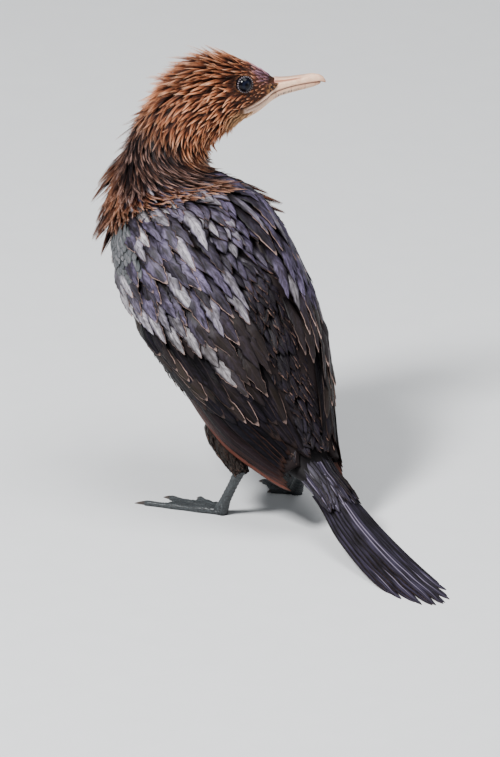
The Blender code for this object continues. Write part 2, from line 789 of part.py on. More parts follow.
def tail_place(reach, side, layer):
    """A point on the shaft of a tail feather: how far back, which side, and which layer."""
    spread = TAIL_ROOT_SPACING + (TAIL_TIP_SPACING - TAIL_ROOT_SPACING) * reach / TAIL_LENGTH
    pairing = TAIL_PAIRING * (1 - 2 * (layer % 2)) * (reach / TAIL_LENGTH) ** 2
    aside = side * (spread * (layer + 0.45) + pairing)
    turn = math.radians(TAIL_SWING) * smooth(reach / 60.0 + 0.25)
    start = SECTIONS[0][0]
    return Vector(
        (
            start.x + aside * math.cos(turn) + reach * math.sin(turn),
            start.y + GAP + reach * math.cos(turn) - aside * math.sin(turn),
            tail_height(reach, layer),
        )
    )


def tail_feather(side, layer):
    length = tail_length(layer)
    reaches = [3.0 + (length - 3.0) * share for share in TAIL_STOPS]
    places = [tail_place(reach, side, layer) for reach in reaches]
    frames = []
    for i, place in enumerate(places):
        ahead = (places[min(i + 1, len(places) - 1)] - places[max(i - 1, 0)]).normalized()
        across = ahead.cross(UP).normalized()
        frames.append((place, across, UP))
    widths = [TAIL_HALF_WIDTH * part * (1.0 - 0.03 * layer) for part in TAIL_SHAPE]
    return vane(frames, widths, [0.0] * len(widths), 0.55, 0.12)


def make_tail():
    """A short fleshy root and twelve feathers that fan from it down to the floor."""
    rings = []
    start = SECTIONS[0][0]
    for share in (-0.3, 0.0, 0.5, 1.0):
        reach = TAIL_ROOT_LENGTH * share
        middle = (tail_place(reach, 1, 2) + tail_place(reach, -1, 2)) / 2
        half = 12.0 - 2.5 * share
        over, under = 5.0 - 3.5 * share, 5.5 - 4.0 * share
        middle.z += 1.0 + 0.6 * share
        ring = []
        for i in range(16):
            turn = math.tau * i / 16
            high = over if math.sin(turn) > 0 else under
            ring.append(middle + Vector((half * math.cos(turn), 0.0, high * math.sin(turn))))
        rings.append(ring)
    tail = mesh_object("tail", *lofted(rings), "plumage_dark")
    feathers = [tail_feather(side, layer) for layer in range(TAIL_PAIRS) for side in (1, -1)]
    joined(tail, feathers)
    cut_by(tail, trunk_cutter())
    return tail


def mirrored(place, side):
    return Vector((place.x * side, place.y, place.z))


def limb_rings(stops, radii, around):
    """Round rings square to the line between stops."""
    rings = []
    for i, (stop, radius) in enumerate(zip(stops, radii)):
        ahead = (stops[min(i + 1, len(stops) - 1)] - stops[max(i - 1, 0)]).normalized()
        across = ahead.cross(Vector((1.0, 0.0, 0.0))).normalized()
        over = across.cross(ahead)
        rings.append(
            [
                stop
                + across * (radius * math.cos(math.tau * k / around))
                + over * (radius * math.sin(math.tau * k / around))
                for k in range(around)
            ]
        )
    return rings


def make_thigh(label, side):
    """The feathered thigh, from the flank down to the heel."""
    top, heel = mirrored(THIGH_TOP, side), mirrored(HEEL, side)
    knee = top.lerp(heel, 0.5) + Vector((2.0 * side, -3.0, 0.0))
    end = heel + (heel - knee).normalized() * 3.0
    rings = limb_rings([top, top.lerp(knee, 0.5), knee, knee.lerp(end, 0.6), end], THIGH_RADII, 14)
    thigh = mesh_object(f"thigh_{label}", *lofted(rings), "plumage_dark")
    sliced(thigh, heel + UP * (GAP / 2), -UP)
    return cut_by(thigh, trunk_cutter())


def toe_rings(start, way, length, width):
    """A toe that lies flat on the floor and ends in a curved claw."""
    across = Vector((-way.y, way.x, 0.0))
    rings = []
    for share, wide, high in TOE_SHAPE:
        middle = start + way * (length * share)
        half, top = width / 2 * wide, TOE_HEIGHT * high
        ring = []
        for side, height in ((-0.8, 0.0), (0.8, 0.0), (1.0, 0.45), (0.5, 1.0), (-0.5, 1.0), (-1.0, 0.45)):
            ring.append(middle + across * (half * side) + UP * (top * height))
        rings.append(ring)
    return rings


def toe_ways(side):
    """The four toes of a foot: the way each points, its length and its width."""
    for length, turn, width in TOES:
        angle = math.radians(270.0 + side * (FOOT_SPLAY + turn))
        yield Vector((math.cos(angle), math.sin(angle), 0.0)), length, width


def make_foot(label, side):
    """Shank, four toes and the webs that join all four."""
    base = mirrored(Vector((FOOT.x, FOOT.y, 0.0)), side)
    toes = list(toe_ways(side))
    pieces = []
    for way, length, width in toes:
        pieces.append(mesh_object("toe", *lofted(toe_rings(base - way * 3.0, way, length, width))))
    heel, ankle = mirrored(HEEL, side), mirrored(FOOT, side)
    start = heel - (ankle - heel).normalized() * 3.0
    stops = [start, heel.lerp(ankle, 0.35), heel.lerp(ankle, 0.8), ankle - UP * 1.5]
    shank = mesh_object(f"foot_{label}", *lofted(limb_rings(stops, SHANK_RADII, 10)), "foot_skin")
    sliced(shank, heel - UP * (GAP / 2), UP)
    for (way, length, _), (next_way, next_length, _) in zip(toes, toes[1:]):
        rim = [base - way * 1.0 - next_way * 1.0]
        reach, next_reach = length * WEB_REACH, next_length * WEB_REACH
        for i in range(5):
            share = i / 4
            ahead = (way * (1 - share) + next_way * share).normalized()
            sag = 1.0 - WEB_SAG * math.sin(math.pi * share)
            rim.append(base + ahead * ((reach + (next_reach - reach) * share) * sag))
        ring_low = [p + UP * WEB_LIFT for p in rim]
        ring_high = [p + UP * (WEB_LIFT + WEB_THICKNESS) for p in rim]
        pieces.append(mesh_object("web", *lofted([ring_low, ring_high])))
    joined(shank, pieces)
    return shank


def centre_on_floor():
    """Moves everything so that the origin is under the middle of the model's box."""
    solids = [obj for obj in bpy.data.objects if obj.type == "MESH"]
    places = [v.co for obj in solids for v in obj.data.vertices]
    low = Vector([min(p[i] for p in places) for i in range(3)])
    high = Vector([max(p[i] for p in places) for i in range(3)])
    middle = (low + high) / 2
    shift = Matrix.Translation(Vector((-middle.x, -middle.y, -low.z)))
    for obj in solids:
        obj.data.transform(shift)


def main():
    clear_scene()
    make_trunk()
    make_neck()
    make_head()
    make_bill()
    make_eyes()
    make_wings()
    make_tail()
    for label, side in (("left", 1), ("right", -1)):
        make_thigh(label, side)
        make_foot(label, side)
    centre_on_floor()


main()
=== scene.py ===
"""The looks of a pygmy cormorant at rest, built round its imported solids.

Lengths are millimetres in the pose's own frame, and make_piece turns them into the row frame's
metres. Angles are degrees. A place on the body is a distance along its tube from the tail's
root and an angle round it, where 0 is the back and 90 the bird's left.
"""

import math

import bmesh
import bpy
import numpy as np
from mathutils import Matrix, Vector
from mathutils.kdtree import KDTree


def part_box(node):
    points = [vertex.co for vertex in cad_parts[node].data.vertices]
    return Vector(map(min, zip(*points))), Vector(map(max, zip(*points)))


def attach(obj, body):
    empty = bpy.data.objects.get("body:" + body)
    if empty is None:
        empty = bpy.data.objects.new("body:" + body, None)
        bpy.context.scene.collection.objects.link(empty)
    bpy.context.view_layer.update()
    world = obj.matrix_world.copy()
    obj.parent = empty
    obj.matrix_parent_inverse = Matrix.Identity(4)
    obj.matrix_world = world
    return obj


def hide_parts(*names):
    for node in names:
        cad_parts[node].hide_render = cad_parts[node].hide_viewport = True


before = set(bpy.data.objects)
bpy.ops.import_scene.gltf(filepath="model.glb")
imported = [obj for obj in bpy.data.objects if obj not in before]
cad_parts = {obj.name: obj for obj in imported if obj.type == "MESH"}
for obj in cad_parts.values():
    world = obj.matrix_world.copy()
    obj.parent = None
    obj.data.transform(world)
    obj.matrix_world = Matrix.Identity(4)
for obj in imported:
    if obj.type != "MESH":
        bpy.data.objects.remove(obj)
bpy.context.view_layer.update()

MM = 0.001

# The pose, as the solids have it.
BODY_PITCH = 46.0
HEAD_TURN = 118.0
AXIS_START = np.array((0.0, 0.0, 34.0))
HEAD_CENTRE = np.array((-24.1, -140.7, 256.6))
UP = np.array((0.0, 0.0, 1.0))

pitch = math.radians(BODY_PITCH)
turned = math.radians(270.0 - HEAD_TURN)
AXIS = np.array((0.0, -math.cos(pitch), math.sin(pitch)))
BACK = np.array((0.0, math.sin(pitch), math.cos(pitch)))
FACING = np.array((math.cos(turned), math.sin(turned), 0.0))
FACE_LEFT = np.cross(UP, FACING)


def unit(vectors):
    """Each vector at length one."""
    return vectors / np.maximum(np.linalg.norm(vectors, axis=-1, keepdims=True), 1e-12)


def dot(one, other):
    """The scalar product of each pair of vectors."""
    return (one * other).sum(-1)


def smooth(share):
    """A ramp from 0 to 1 with soft ends."""
    share = np.clip(share, 0.0, 1.0)
    return share * share * (3.0 - 2.0 * share)


def columns_at(at, stops, table):
    """The columns of a table with one row for each stop, read between the stops."""
    return np.stack([np.interp(at, stops, column) for column in np.transpose(table)], -1)


def along_trunk(distance, sag=0.0):
    """A point that far along the trunk's axis, and so far below it."""
    return AXIS_START + AXIS * distance - BACK * sag


def at_head(forward, up, left=0.0):
    """A point placed from the middle of the head, along the way that the bill points."""
    forward, up, left = (np.asarray(value, float)[..., None] for value in (forward, up, left))
    return HEAD_CENTRE + FACING * forward + UP * up + FACE_LEFT * left


def in_head(points):
    """How far forward, up and to the bird's left points lie from the middle of the head."""
    away = points - HEAD_CENTRE
    return dot(away, FACING), dot(away, UP), dot(away, FACE_LEFT)


# The body's tube: middle, way of the back, half width, reach to the back and to the belly.
SECTIONS = (
    ((0.0, 10.0, 36.5), (0.0, 0.4, 0.9), 13.0, 6.0, 7.0),
    ((0.0, -3.0, 41.0), (0.0, 0.5, 0.86), 17.0, 9.5, 11.0),
    (along_trunk(40.0, 2.0), BACK, 31.0, 21.0, 26.0),
    (along_trunk(80.0, 5.0), BACK, 47.0, 34.0, 42.0),
    (along_trunk(120.0, 7.0), BACK, 55.0, 42.0, 50.0),
    (along_trunk(160.0, 7.5), BACK, 56.0, 43.5, 51.0),
    (along_trunk(190.0, 7.0), BACK, 51.0, 40.0, 47.0),
    (along_trunk(213.0, 6.0), (0.25, 0.75, 0.6), 43.0, 32.0, 41.0),
    ((1.0, -158.5, 203.0), (0.7, 0.6, 0.3), 29.0, 27.0, 28.5),
    ((-3.0, -158.0, 221.0), (0.89, -0.3, 0.29), 24.0, 26.5, 21.5),
    (at_head(-17.0, -17.5), (0.57, -0.49, 0.65), 21.5, 27.0, 22.5),
    (at_head(-2.0, -4.0), (0.3, -0.2, 0.9), 20.0, 29.0, 24.5),
    (at_head(12.0, 1.0), UP, 18.5, 25.0, 23.0),
    (at_head(23.0, 2.5), UP, 15.5, 20.5, 20.0),
    (at_head(33.0, 3.0), UP, 11.0, 12.5, 14.5),
    (at_head(42.0, 3.0), UP, 6.5, 6.5, 10.5),
    (at_head(50.0, 3.5), UP, 4.0, 4.5, 6.5),
)
TRUNK_TO_NECK = 7
NECK_TO_HEAD = 10
TRACK_STEP = 2.0
TRACK_PASSES = 50
HEAD_PULL = 0.2


class BodyTube:
    """The body as one tube, with the same sections and rounding as the solids."""

    def __init__(self):
        middles = np.array([section[0] for section in SECTIONS], float)
        backs = unit(np.array([section[1] for section in SECTIONS], float))
        sizes = np.array([section[2:] for section in SECTIONS], float)
        strides = np.linalg.norm(np.diff(middles, axis=0), axis=1)
        self.stops = np.concatenate([[0.0], np.cumsum(strides)])
        self.length = self.stops[-1]
        count = math.ceil(self.length / TRACK_STEP)
        self.at = np.linspace(0.0, self.length, count + 1)
        table = columns_at(self.at, self.stops, np.concatenate([middles, backs, sizes], axis=1))
        into_head = np.clip((self.at - self.stops[NECK_TO_HEAD - 1]) / 40.0, 0.0, 1.0)
        pull = 0.5 * (1.0 - (1.0 - HEAD_PULL) * into_head[1:-1, None])
        for _ in range(TRACK_PASSES):
            table[1:-1] = table[1:-1] * (1.0 - pull) + (table[:-2] + table[2:]) * (pull / 2)
        self.table = table
        self.ways = unit(np.gradient(table[:, :3], axis=0))

    def frames(self, distance):
        """Middle, way forward, way back, way left and the three sizes."""
        row = columns_at(distance, self.at, self.table)
        forward = unit(columns_at(distance, self.at, self.ways))
        back = row[..., 3:6]
        back = unit(back - forward * dot(back, forward)[..., None])
        return row[..., :3], forward, back, np.cross(back, forward), row[..., 6:]

    def point(self, distance, angle, lift=0.0):
        """A place on the body's surface, or so far above it."""
        distance, angle, lift = np.broadcast_arrays(distance, angle, lift)
        middle, _, back, left, sizes = self.frames(distance)
        turn = np.radians(angle)
        reach = np.where(np.cos(turn) > 0, sizes[..., 1], sizes[..., 2])
        wide = np.sin(turn) * (sizes[..., 0] + lift)
        high = np.cos(turn) * (reach + lift)
        return middle + left * wide[..., None] + back * high[..., None]

    def girth(self, distance):
        """About how many millimetres a turn of one degree is worth there."""
        sizes = self.frames(np.asarray(distance, float))[4]
        return sizes.mean(-1) * math.pi / 180.0


body = BodyTube()
NECK_START = body.stops[TRUNK_TO_NECK]
HEAD_START = body.stops[NECK_TO_HEAD]

# The folded wing's core on the trunk, as in the solids: distance, upper and lower angle, and
# how far it stands off the trunk.
WING_OUTLINE = np.array(
    (
        (210.0, 52.0, 84.0, 2.5),
        (200.0, 34.0, 104.0, 4.5),
        (180.0, 22.0, 108.0, 5.0),
        (145.0, 15.0, 107.0, 4.6),
        (110.0, 10.0, 105.0, 4.2),
        (80.0, 8.0, 104.0, 3.6),
        (56.0, 9.0, 103.0, 3.0),
        (38.0, 14.0, 101.0, 2.4),
        (24.0, 28.0, 99.0, 1.8),
        (14.0, 52.0, 96.0, 1.4),
    )
)[::-1]
WING_EDGE = 0.9
WING_THICKNESS = 4.2
WING_DROOP = {1: 9.0, -1: 2.5}

# The bill by distance from the middle of the head: forward, height of the mouth's line, half
# width, and how far the upper and lower half reach from that line.
BILL_STATIONS = np.array(
    (
        (22.0, -9.5, 7.6, 10.0, 9.0),
        (30.0, -5.8, 7.0, 13.0, 8.6),
        (38.3, -1.1, 5.8, 10.6, 6.6),
        (44.0, 0.8, 4.9, 7.6, 5.2),
        (50.5, 2.4, 4.1, 5.9, 5.2),
        (58.0, 3.5, 3.5, 5.4, 4.7),
        (66.0, 4.3, 3.1, 5.4, 3.9),
        (71.0, 4.5, 2.4, 4.2, 2.6),
    )
)
HOOK = ((73.6, 3.6, 1.6, 3.4), (75.2, 3.0, 0.8, 1.4))
LOWER_TIP = ((70.6, 4.4, 2.0, 2.4), (71.8, 3.9, 1.2, 1.1))
BILL_CUT = (36.0, -1.5)
BILL_CUT_SLANT = math.radians(40.0)
BILL_CUT_WAY = FACING * math.cos(BILL_CUT_SLANT) - UP * math.sin(BILL_CUT_SLANT)
GAPE = (20.0, -9.0)

EYE_RADIUS = 5.6
EYE_FORWARD = 18.6
EYE_UP = 9.7
EYE_SIDE = 13.4


def eye_middle(side):
    """The middle of the eye on one side, which is 1 for the bird's left and -1 for its right."""
    return at_head(EYE_FORWARD, EYE_UP, side * EYE_SIDE)


def row_shift():
    """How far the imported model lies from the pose's own frame, in metres."""
    low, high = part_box("eye_left")
    return np.array((low + high) / 2) - eye_middle(1) * MM


SHIFT = row_shift()


class Wire:
    """One socket of a finish. Sums on wires add Math nodes."""

    def __init__(self, finish, socket):
        self.finish, self.socket = finish, socket

    def __add__(self, other):
        return self.finish.math("ADD", self, other)

    def __sub__(self, other):
        return self.finish.math("SUBTRACT", self, other)

    def __rsub__(self, other):
        return self.finish.math("SUBTRACT", other, self)

    def __mul__(self, other):
        return self.finish.math("MULTIPLY", self, other)

    def __truediv__(self, other):
        return self.finish.math("DIVIDE", self, other)

    def __abs__(self):
        return self.finish.math("ABSOLUTE", self)

    __radd__ = __add__
    __rmul__ = __mul__

    def clamped(self):
        """This value kept between 0 and 1."""
        return self.finish.math("ADD", self, 0.0, clamp=True)

    def step(self, start, end):
        """0 before start and 1 after end, with a straight ramp between them."""
        return ((self - start) / (end - start)).clamped()


class Finish:
    """A material of one Principled shader, built from expressions on wires."""

    def __init__(self, name):
        self.material = bpy.data.materials.new(name)
        self.material.use_nodes = True
        self.nodes = self.material.node_tree.nodes
        self.links = self.material.node_tree.links
        self.shader = self.nodes["Principled BSDF"]

    def node(self, kind, output=0, settings=None, **inputs):
        """A node of any kind: its settings first, then what goes into its sockets."""
        made = self.nodes.new(kind)
        for key, value in (settings or {}).items():
            if key == "stops":
                self.set_stops(made.color_ramp, value)
            else:
                setattr(made, key, value)
        for key, value in inputs.items():
            socket = made.inputs[int(key[1:]) if key[0] == "_" else key.replace("_", " ")]
            self.feed(socket, value)
        return Wire(self, made.outputs[output])

    def set_stops(self, ramp, stops):
        """Gives a colour ramp its places and colours."""
        while len(ramp.elements) < len(stops):
            ramp.elements.new(0.5)
        for element, (place, colour) in zip(ramp.elements, stops):
            element.position = place
            element.color = (*colour, 1.0)

    def feed(self, socket, value):
        """Links a wire to a socket, or sets the socket to a value."""
        if isinstance(value, Wire):
            self.links.new(value.socket, socket)
        elif socket.type == "RGBA":
            socket.default_value = (*value, 1.0)
        else:
            socket.default_value = value

    def math(self, operation, *values, clamp=False):
        """One Math node on wires and numbers."""
        settings = {"operation": operation, "use_clamp": clamp}
        sockets = {f"_{k}": value for k, value in enumerate(values)}
        return self.node("ShaderNodeMath", 0, settings, **sockets)

    def mark(self, name):
        """A value that the mesh carries."""
        return self.node("ShaderNodeAttribute", "Fac", {"attribute_name": name})

    def marks(self, *names):
        """Several values that the mesh carries."""
        return [self.mark(name) for name in names]

    def mix(self, share, first, second):
        """The first colour where the share is 0, and the second where it is 1."""
        settings = {"data_type": "RGBA"}
        return self.node("ShaderNodeMix", 2, settings, _0=share, _6=first, _7=second)

    def ramp(self, value, *stops):
        """A colour read from stops of place and colour."""
        return self.node("ShaderNodeValToRGB", 0, {"stops": stops}, _0=value)

    def place(self):
        """The place on the object, in metres."""
        return self.node("ShaderNodeTexCoord", "Object")

    def vector(self, x=0.0, y=0.0, z=0.0):
        """A vector from three wires or numbers."""
        return self.node("ShaderNodeCombineXYZ", 0, None, _0=x, _1=y, _2=z)

    def noise(self, vector, scale, detail=2.0, roughness=0.5):
        """Cloudy noise between 0 and 1."""
        inputs = {"Vector": vector, "Scale": scale, "Detail": detail, "Roughness": roughness}
        return self.node("ShaderNodeTexNoise", 0, None, **inputs)

    def cells(self, vector, scale, feature="F1"):
        """How far a place lies from the middle or the edge of its cell."""
        inputs = {"Vector": vector, "Scale": scale}
        return self.node("ShaderNodeTexVoronoi", 0, {"feature": feature}, **inputs)

    def bump(self, height, distance, strength=1.0):
        """A normal that follows a height, whose full step is the distance in metres."""
        inputs = {"Height": height, "Distance": distance, "Strength": strength}
        return self.node("ShaderNodeBump", 0, None, **inputs)

    def surface(self, **inputs):
        """Sets the shader's own sockets, and gives back the material."""
        for key, value in inputs.items():
            self.feed(self.shader.inputs[key.replace("_", " ")], value)
        return self.material


# The values that a skin's and a feather's mesh carry, beside how far along the feather.
SKIN_MARKS = ("rufous", "dark", "bare", "lips", "violet", "seam", "pale")
# On feathers, violet sets a painted violet sheen, and lit sets silver centres that also carry painted
# light and shade between the sides.
PLUME_MARKS = ("across", "tint", "reach", "lit", "violet", "olive")

# Shared colours, as linear light.
ROOT_BROWN_AND_SHADE = (0.012, 0.005, 0.004)
RUFOUS_TIP = (0.94, 0.53, 0.33)
BLACK_BROWN = (0.0045, 0.0034, 0.0040)
JET = (0.0022, 0.0020, 0.0024)
CHIN_YELLOW = (0.96, 0.60, 0.29)
PAINTED_VIOLET_SHEEN = (0.155, 0.126, 0.222)
SILVER = (0.60, 0.565, 0.585)
EDGE_BROWN = (0.52, 0.35, 0.30)
OLIVE_BROWN = (0.036, 0.026, 0.017)
GREEN_GREY = (0.050, 0.056, 0.058)


def make_hackle_finish():
    """Wet, bristly head and neck feathers: dark at the root, partly painted shade between locks, tan at
    the tip.
    """
    look = Finish("hackles")
    along, tint, dark, pale, violet = look.marks("along", "tint", "dark", "pale", "violet")
    # The ramp runs from near-black roots, partly painted shade between the locks, to tan tips.
    glow = (along * 1.05 + tint * 0.66 - 0.42).clamped()
    colour = look.ramp(
        glow,
        (0.0, ROOT_BROWN_AND_SHADE),
        (0.34, (0.080, 0.023, 0.012)),
        (0.58, (0.38, 0.120, 0.050)),
        (0.80, (0.76, 0.33, 0.16)),
        (1.0, RUFOUS_TIP),
    )
    # Colours for the dark mark, which also holds painted shade in the neck's hollow and on its right
    # side.
    dusky = look.ramp(
        glow,
        (0.0, BLACK_BROWN),
        (0.55, (0.011, 0.007, 0.008)),
        (0.80, (0.060, 0.032, 0.028)),
        (1.0, (0.42, 0.25, 0.21)),
    )
    colour = look.mix(dark, colour, dusky)
    colour = look.mix(pale * (0.10 + 0.80 * along) * (0.55 + 0.45 * tint), colour, CHIN_YELLOW)
    colour = look.mix(violet * along * 0.9, colour, (0.42, 0.25, 0.37))
    rough = 0.36 + 0.2 * tint
    return look.surface(Base_Color=colour, Roughness=rough, Specular_IOR_Level=0.25)


def make_plume_finish(name, edge=EDGE_BROWN, gloss=0.30, base=BLACK_BROWN, middle=OLIVE_BROWN,
                      frayed=0.0, shine=0.11):
    """A dark feather with a painted violet sheen, silvery streaks or an olive middle, and a pale rim.

    The mesh carries how strong each of these is, and how many millimetres from the root it is.
    """
    look = Finish(name)
    along, across, tint, reach = look.marks("along", "across", "tint", "reach")
    lit, violet, olive = look.marks("lit", "violet", "olive")
    aside = abs(across)
    slant = look.vector(reach * 0.34 - aside * 3.0, across * 3.2, tint * 57.0)
    barb = look.noise(slant, 1.0, 3.0, 0.65)
    clump = look.noise(look.vector(reach * 0.11 - aside * 1.1, across * 1.1, tint * 23.0), 1.0, 1.0)
    streak = barb.step(0.36, 0.60)
    patch = clump.step(0.36, 0.62)
    inner = 1.0 - aside.step(0.35, 0.80)
    beyond = along.step(0.12, 0.5)
    colour = look.mix((olive * (1.0 - aside.step(0.5, 0.95)) * beyond * 0.9).clamped(), base, middle)
    # Painted sheen: the violet mark sets how much violet-grey sheen is painted into the colour.
    sheen = violet * (0.15 + 0.85 * patch) * (0.30 + 0.70 * streak) * beyond
    sheen = sheen * (1.0 - aside.step(0.62, 0.92))
    colour = look.mix(sheen.clamped(), colour, PAINTED_VIOLET_SHEEN)
    # Silver-grey centres are the feathers' own colour; the lit mark also carries painted light, stronger
    # on the bird's left and weaker on its right wing.
    silver = lit * inner * beyond * (0.40 + 0.60 * streak) * (0.40 + 0.60 * patch)
    colour = look.mix(silver.clamped(), colour, SILVER)
    rim = look.math("MAXIMUM", aside.step(0.84 - 0.45 * frayed, 0.95), along.step(0.93, 0.99))
    rim = rim * along.step(0.5, 0.92) * (tint * 1.4 - 0.2) * (0.45 + 0.55 * streak)
    if frayed:
        rim = rim * barb.step(0.50, 0.60)
    colour = look.mix(rim.clamped(), colour, edge)
    shaft = (1.0 - aside.step(0.03, 0.09)) * along.step(0.0, 0.2)
    colour = look.mix(shaft * 0.5, colour, (0.030, 0.022, 0.022))
    ridges = look.bump(barb + clump * 0.5, 0.0004, 0.7)
    return look.surface(
        Base_Color=colour, Roughness=gloss + 0.25 * barb, Normal=ridges, Specular_IOR_Level=shine
    )


def make_tail_finish():
    """Stiff black feathers with a painted violet-grey sheen beside a pale shaft."""
    look = Finish("tail_feathers")
    along, across, tint, reach = look.marks("along", "across", "tint", "reach")
    aside = abs(across)
    barb = look.noise(look.vector(reach * 1.1 - aside * 5.0, across * 1.4, tint * 31.0), 1.6, 2.0)
    long_streak = look.noise(look.vector(reach * 0.030, across * 2.4, tint * 11.0), 1.7, 2.0)
    # Painted sheen: violet-grey streaks painted into the colour beside the shaft.
    sheen = long_streak.step(0.36, 0.70) * (1.0 - aside.step(0.55, 0.95)) * (0.45 + barb * 0.55)
    colour = look.mix((sheen * 0.9).clamped(), BLACK_BROWN, (0.060, 0.050, 0.088))
    shaft = (1.0 - aside.step(0.05, 0.13)) * (1.0 - along.step(0.80, 1.0))
    colour = look.mix(shaft * 0.8, colour, (0.19, 0.165, 0.225))
    worn = aside.step(0.86, 1.0) * barb.step(0.45, 0.62) * along.step(0.3, 0.9)
    colour = look.mix(worn * 0.6, colour, (0.10, 0.062, 0.050))
    ridges = look.bump(barb, 0.0003, 0.6)
    return look.surface(
        Base_Color=colour, Roughness=0.34 + 0.2 * barb, Normal=ridges, Specular_IOR_Level=0.14
    )


def make_skin_finish():
    """The skin under the coat, with the coat's markings, and the bare face."""
    look = Finish("skin")
    rufous, dark, bare, lips, violet, seam, pale = look.marks(*SKIN_MARKS)
    grain = look.noise(look.place(), 900.0, 3.0)
    pores = look.cells(look.place(), 1500.0)
    coat = look.mix(rufous, (0.0055, 0.0042, 0.0048), (0.05, 0.018, 0.010))
    # The dark mark also paints shade in the neck's hollow and on its right side.
    coat = look.mix(dark, coat, BLACK_BROWN)
    coat = look.mix(pale * 0.6, coat, (0.30, 0.15, 0.07))
    mottle = look.noise(look.place(), 620.0, 3.0, 0.7).step(0.47, 0.60)
    face = look.mix(mottle, (0.008, 0.005, 0.007), (0.30, 0.135, 0.055))
    face = look.mix(violet * (0.4 + 0.6 * mottle), face, (0.30, 0.17, 0.27))
    face = look.mix(lips, face, look.mix(grain, (0.62, 0.36, 0.27), (0.90, 0.66, 0.50)))
    face = look.mix(seam * 0.9, face, (0.10, 0.035, 0.028))
    colour = look.mix(bare, coat, face)
    height = pores * bare + grain * 0.5
    return look.surface(
        Base_Color=colour,
        Roughness=0.62 - 0.2 * bare,
        Normal=look.bump(height, 0.0003, 0.7),
        Specular_IOR_Level=0.15,
    )


def make_horn_finish():
    """The bill: pinkish cream, browner along the ridge, yellow under the base, with dark lines."""
    look = Finish("bill_horn")
    along, ridge, under, seam = look.marks("along", "ridge", "under", "seam")
    place = look.place()
    cloud = look.noise(place, 240.0, 3.0)
    fibre = look.noise(look.vector(along * 9.0, ridge * 14.0, 0.0), 1.6, 3.0, 0.6)
    colour = look.mix(cloud, (0.80, 0.40, 0.24), (1.0, 0.77, 0.56))
    stripe = fibre.step(0.52, 0.66)
    colour = look.mix(stripe * 0.55, colour, (0.50, 0.20, 0.12))
    culmen = ridge.step(0.80, 0.98) * (0.4 + cloud * 0.6) * (1.0 - along.step(0.70, 0.85) * 0.6)
    colour = look.mix(culmen.clamped(), colour, (0.20, 0.115, 0.10))
    tip = along.step(0.90, 0.985)
    colour = look.mix(tip * 0.45, colour, (0.55, 0.22, 0.13))
    line = (1.0 - abs(ridge - 0.69).step(0.05, 0.15)) * (1.0 - along.step(0.62, 0.74))
    colour = look.mix(line * 0.9, colour, (0.33, 0.115, 0.07))
    brow = ridge.step(0.45, 0.8) * (1.0 - along.step(0.16, 0.40))
    colour = look.mix((brow * 0.8).clamped(), colour, (0.25, 0.17, 0.33))
    lip = (1.0 - seam.step(0.0, 0.5)) * seam.step(0.0, 0.06)
    colour = look.mix(lip * 0.5, colour, (0.62, 0.24, 0.13))
    lower = under.step(0.02, 0.1)
    base = 1.0 - along.step(0.35, 0.62)
    colour = look.mix((under.step(0.75, 0.97) * base * 0.9).clamped(), colour, (0.80, 0.55, 0.14))
    flecks = look.noise(look.vector(along * 62.0, ridge * 4.0, 0.0), 1.0, 2.0, 0.6).step(0.47, 0.55)
    middle = along.step(0.34, 0.42) * (1.0 - along.step(0.66, 0.76))
    belt = under.step(0.25, 0.4) * (1.0 - under.step(0.62, 0.8)) * lower
    colour = look.mix(flecks * middle * belt * 0.85, colour, (0.055, 0.050, 0.085))
    colour = look.mix(seam * 0.92, colour, (0.11, 0.035, 0.025))
    grooves = look.bump(fibre + cloud * 0.5, 0.0003, 0.6)
    return look.surface(
        Base_Color=colour, Roughness=0.36 + fibre * 0.14, Normal=grooves, Specular_IOR_Level=0.28
    )


def make_eye_finish():
    """A wet, nearly black eye with a slightly lighter iris."""
    look = Finish("eye")
    facing = look.mark("along")
    iris = facing.step(0.80, 0.86) * (1.0 - facing.step(0.955, 0.965))
    rays = look.noise(look.place(), 1400.0, 2.0)
    brown = look.mix(rays, (0.002, 0.003, 0.008), (0.007, 0.009, 0.020))
    colour = look.mix(iris, (0.002, 0.002, 0.004), brown)
    return look.surface(Base_Color=colour, Roughness=0.07 + 0.02 * rays, Specular_IOR_Level=0.16)


def make_lid_finish():
    """Dark skin round the eye, with a string of pale dots."""
    look = Finish("eyelid")
    bead = look.mark("along")
    grain = look.noise(look.place(), 1600.0, 2.0)
    pale = look.mix(grain, (0.16, 0.145, 0.17), (0.34, 0.31, 0.34))
    colour = look.mix(bead, (0.035, 0.024, 0.028), pale)
    return look.surface(Base_Color=colour, Roughness=0.5 + grain * 0.1, Specular_IOR_Level=0.2)


def make_foot_finish():
    """Black-grey scaly skin with a faint teal sheen painted into its grain."""
    look = Finish("foot_skin")
    place = look.place()
    scale = look.cells(place, 620.0, "DISTANCE_TO_EDGE")
    grain = look.noise(place, 700.0, 3.0)
    colour = look.mix(grain, (0.018, 0.020, 0.022), (0.055, 0.066, 0.070))
    colour = look.mix(1.0 - scale.step(0.02, 0.10), colour, (0.012, 0.012, 0.014))
    height = scale.step(0.0, 0.14) + grain * 0.25
    return look.surface(
        Base_Color=colour, Roughness=0.36 + 0.22 * grain, Normal=look.bump(height, 0.0003, 0.8)
    )


def make_claw_finish():
    """Dark horn that turns paler towards the claw's tip."""
    look = Finish("claw_horn")
    along = look.mark("along")
    grain = look.noise(look.place(), 900.0, 2.0)
    colour = look.mix(along, (0.020, 0.016, 0.016), (0.075, 0.055, 0.045))
    return look.surface(Base_Color=colour, Roughness=0.24 + 0.15 * grain)


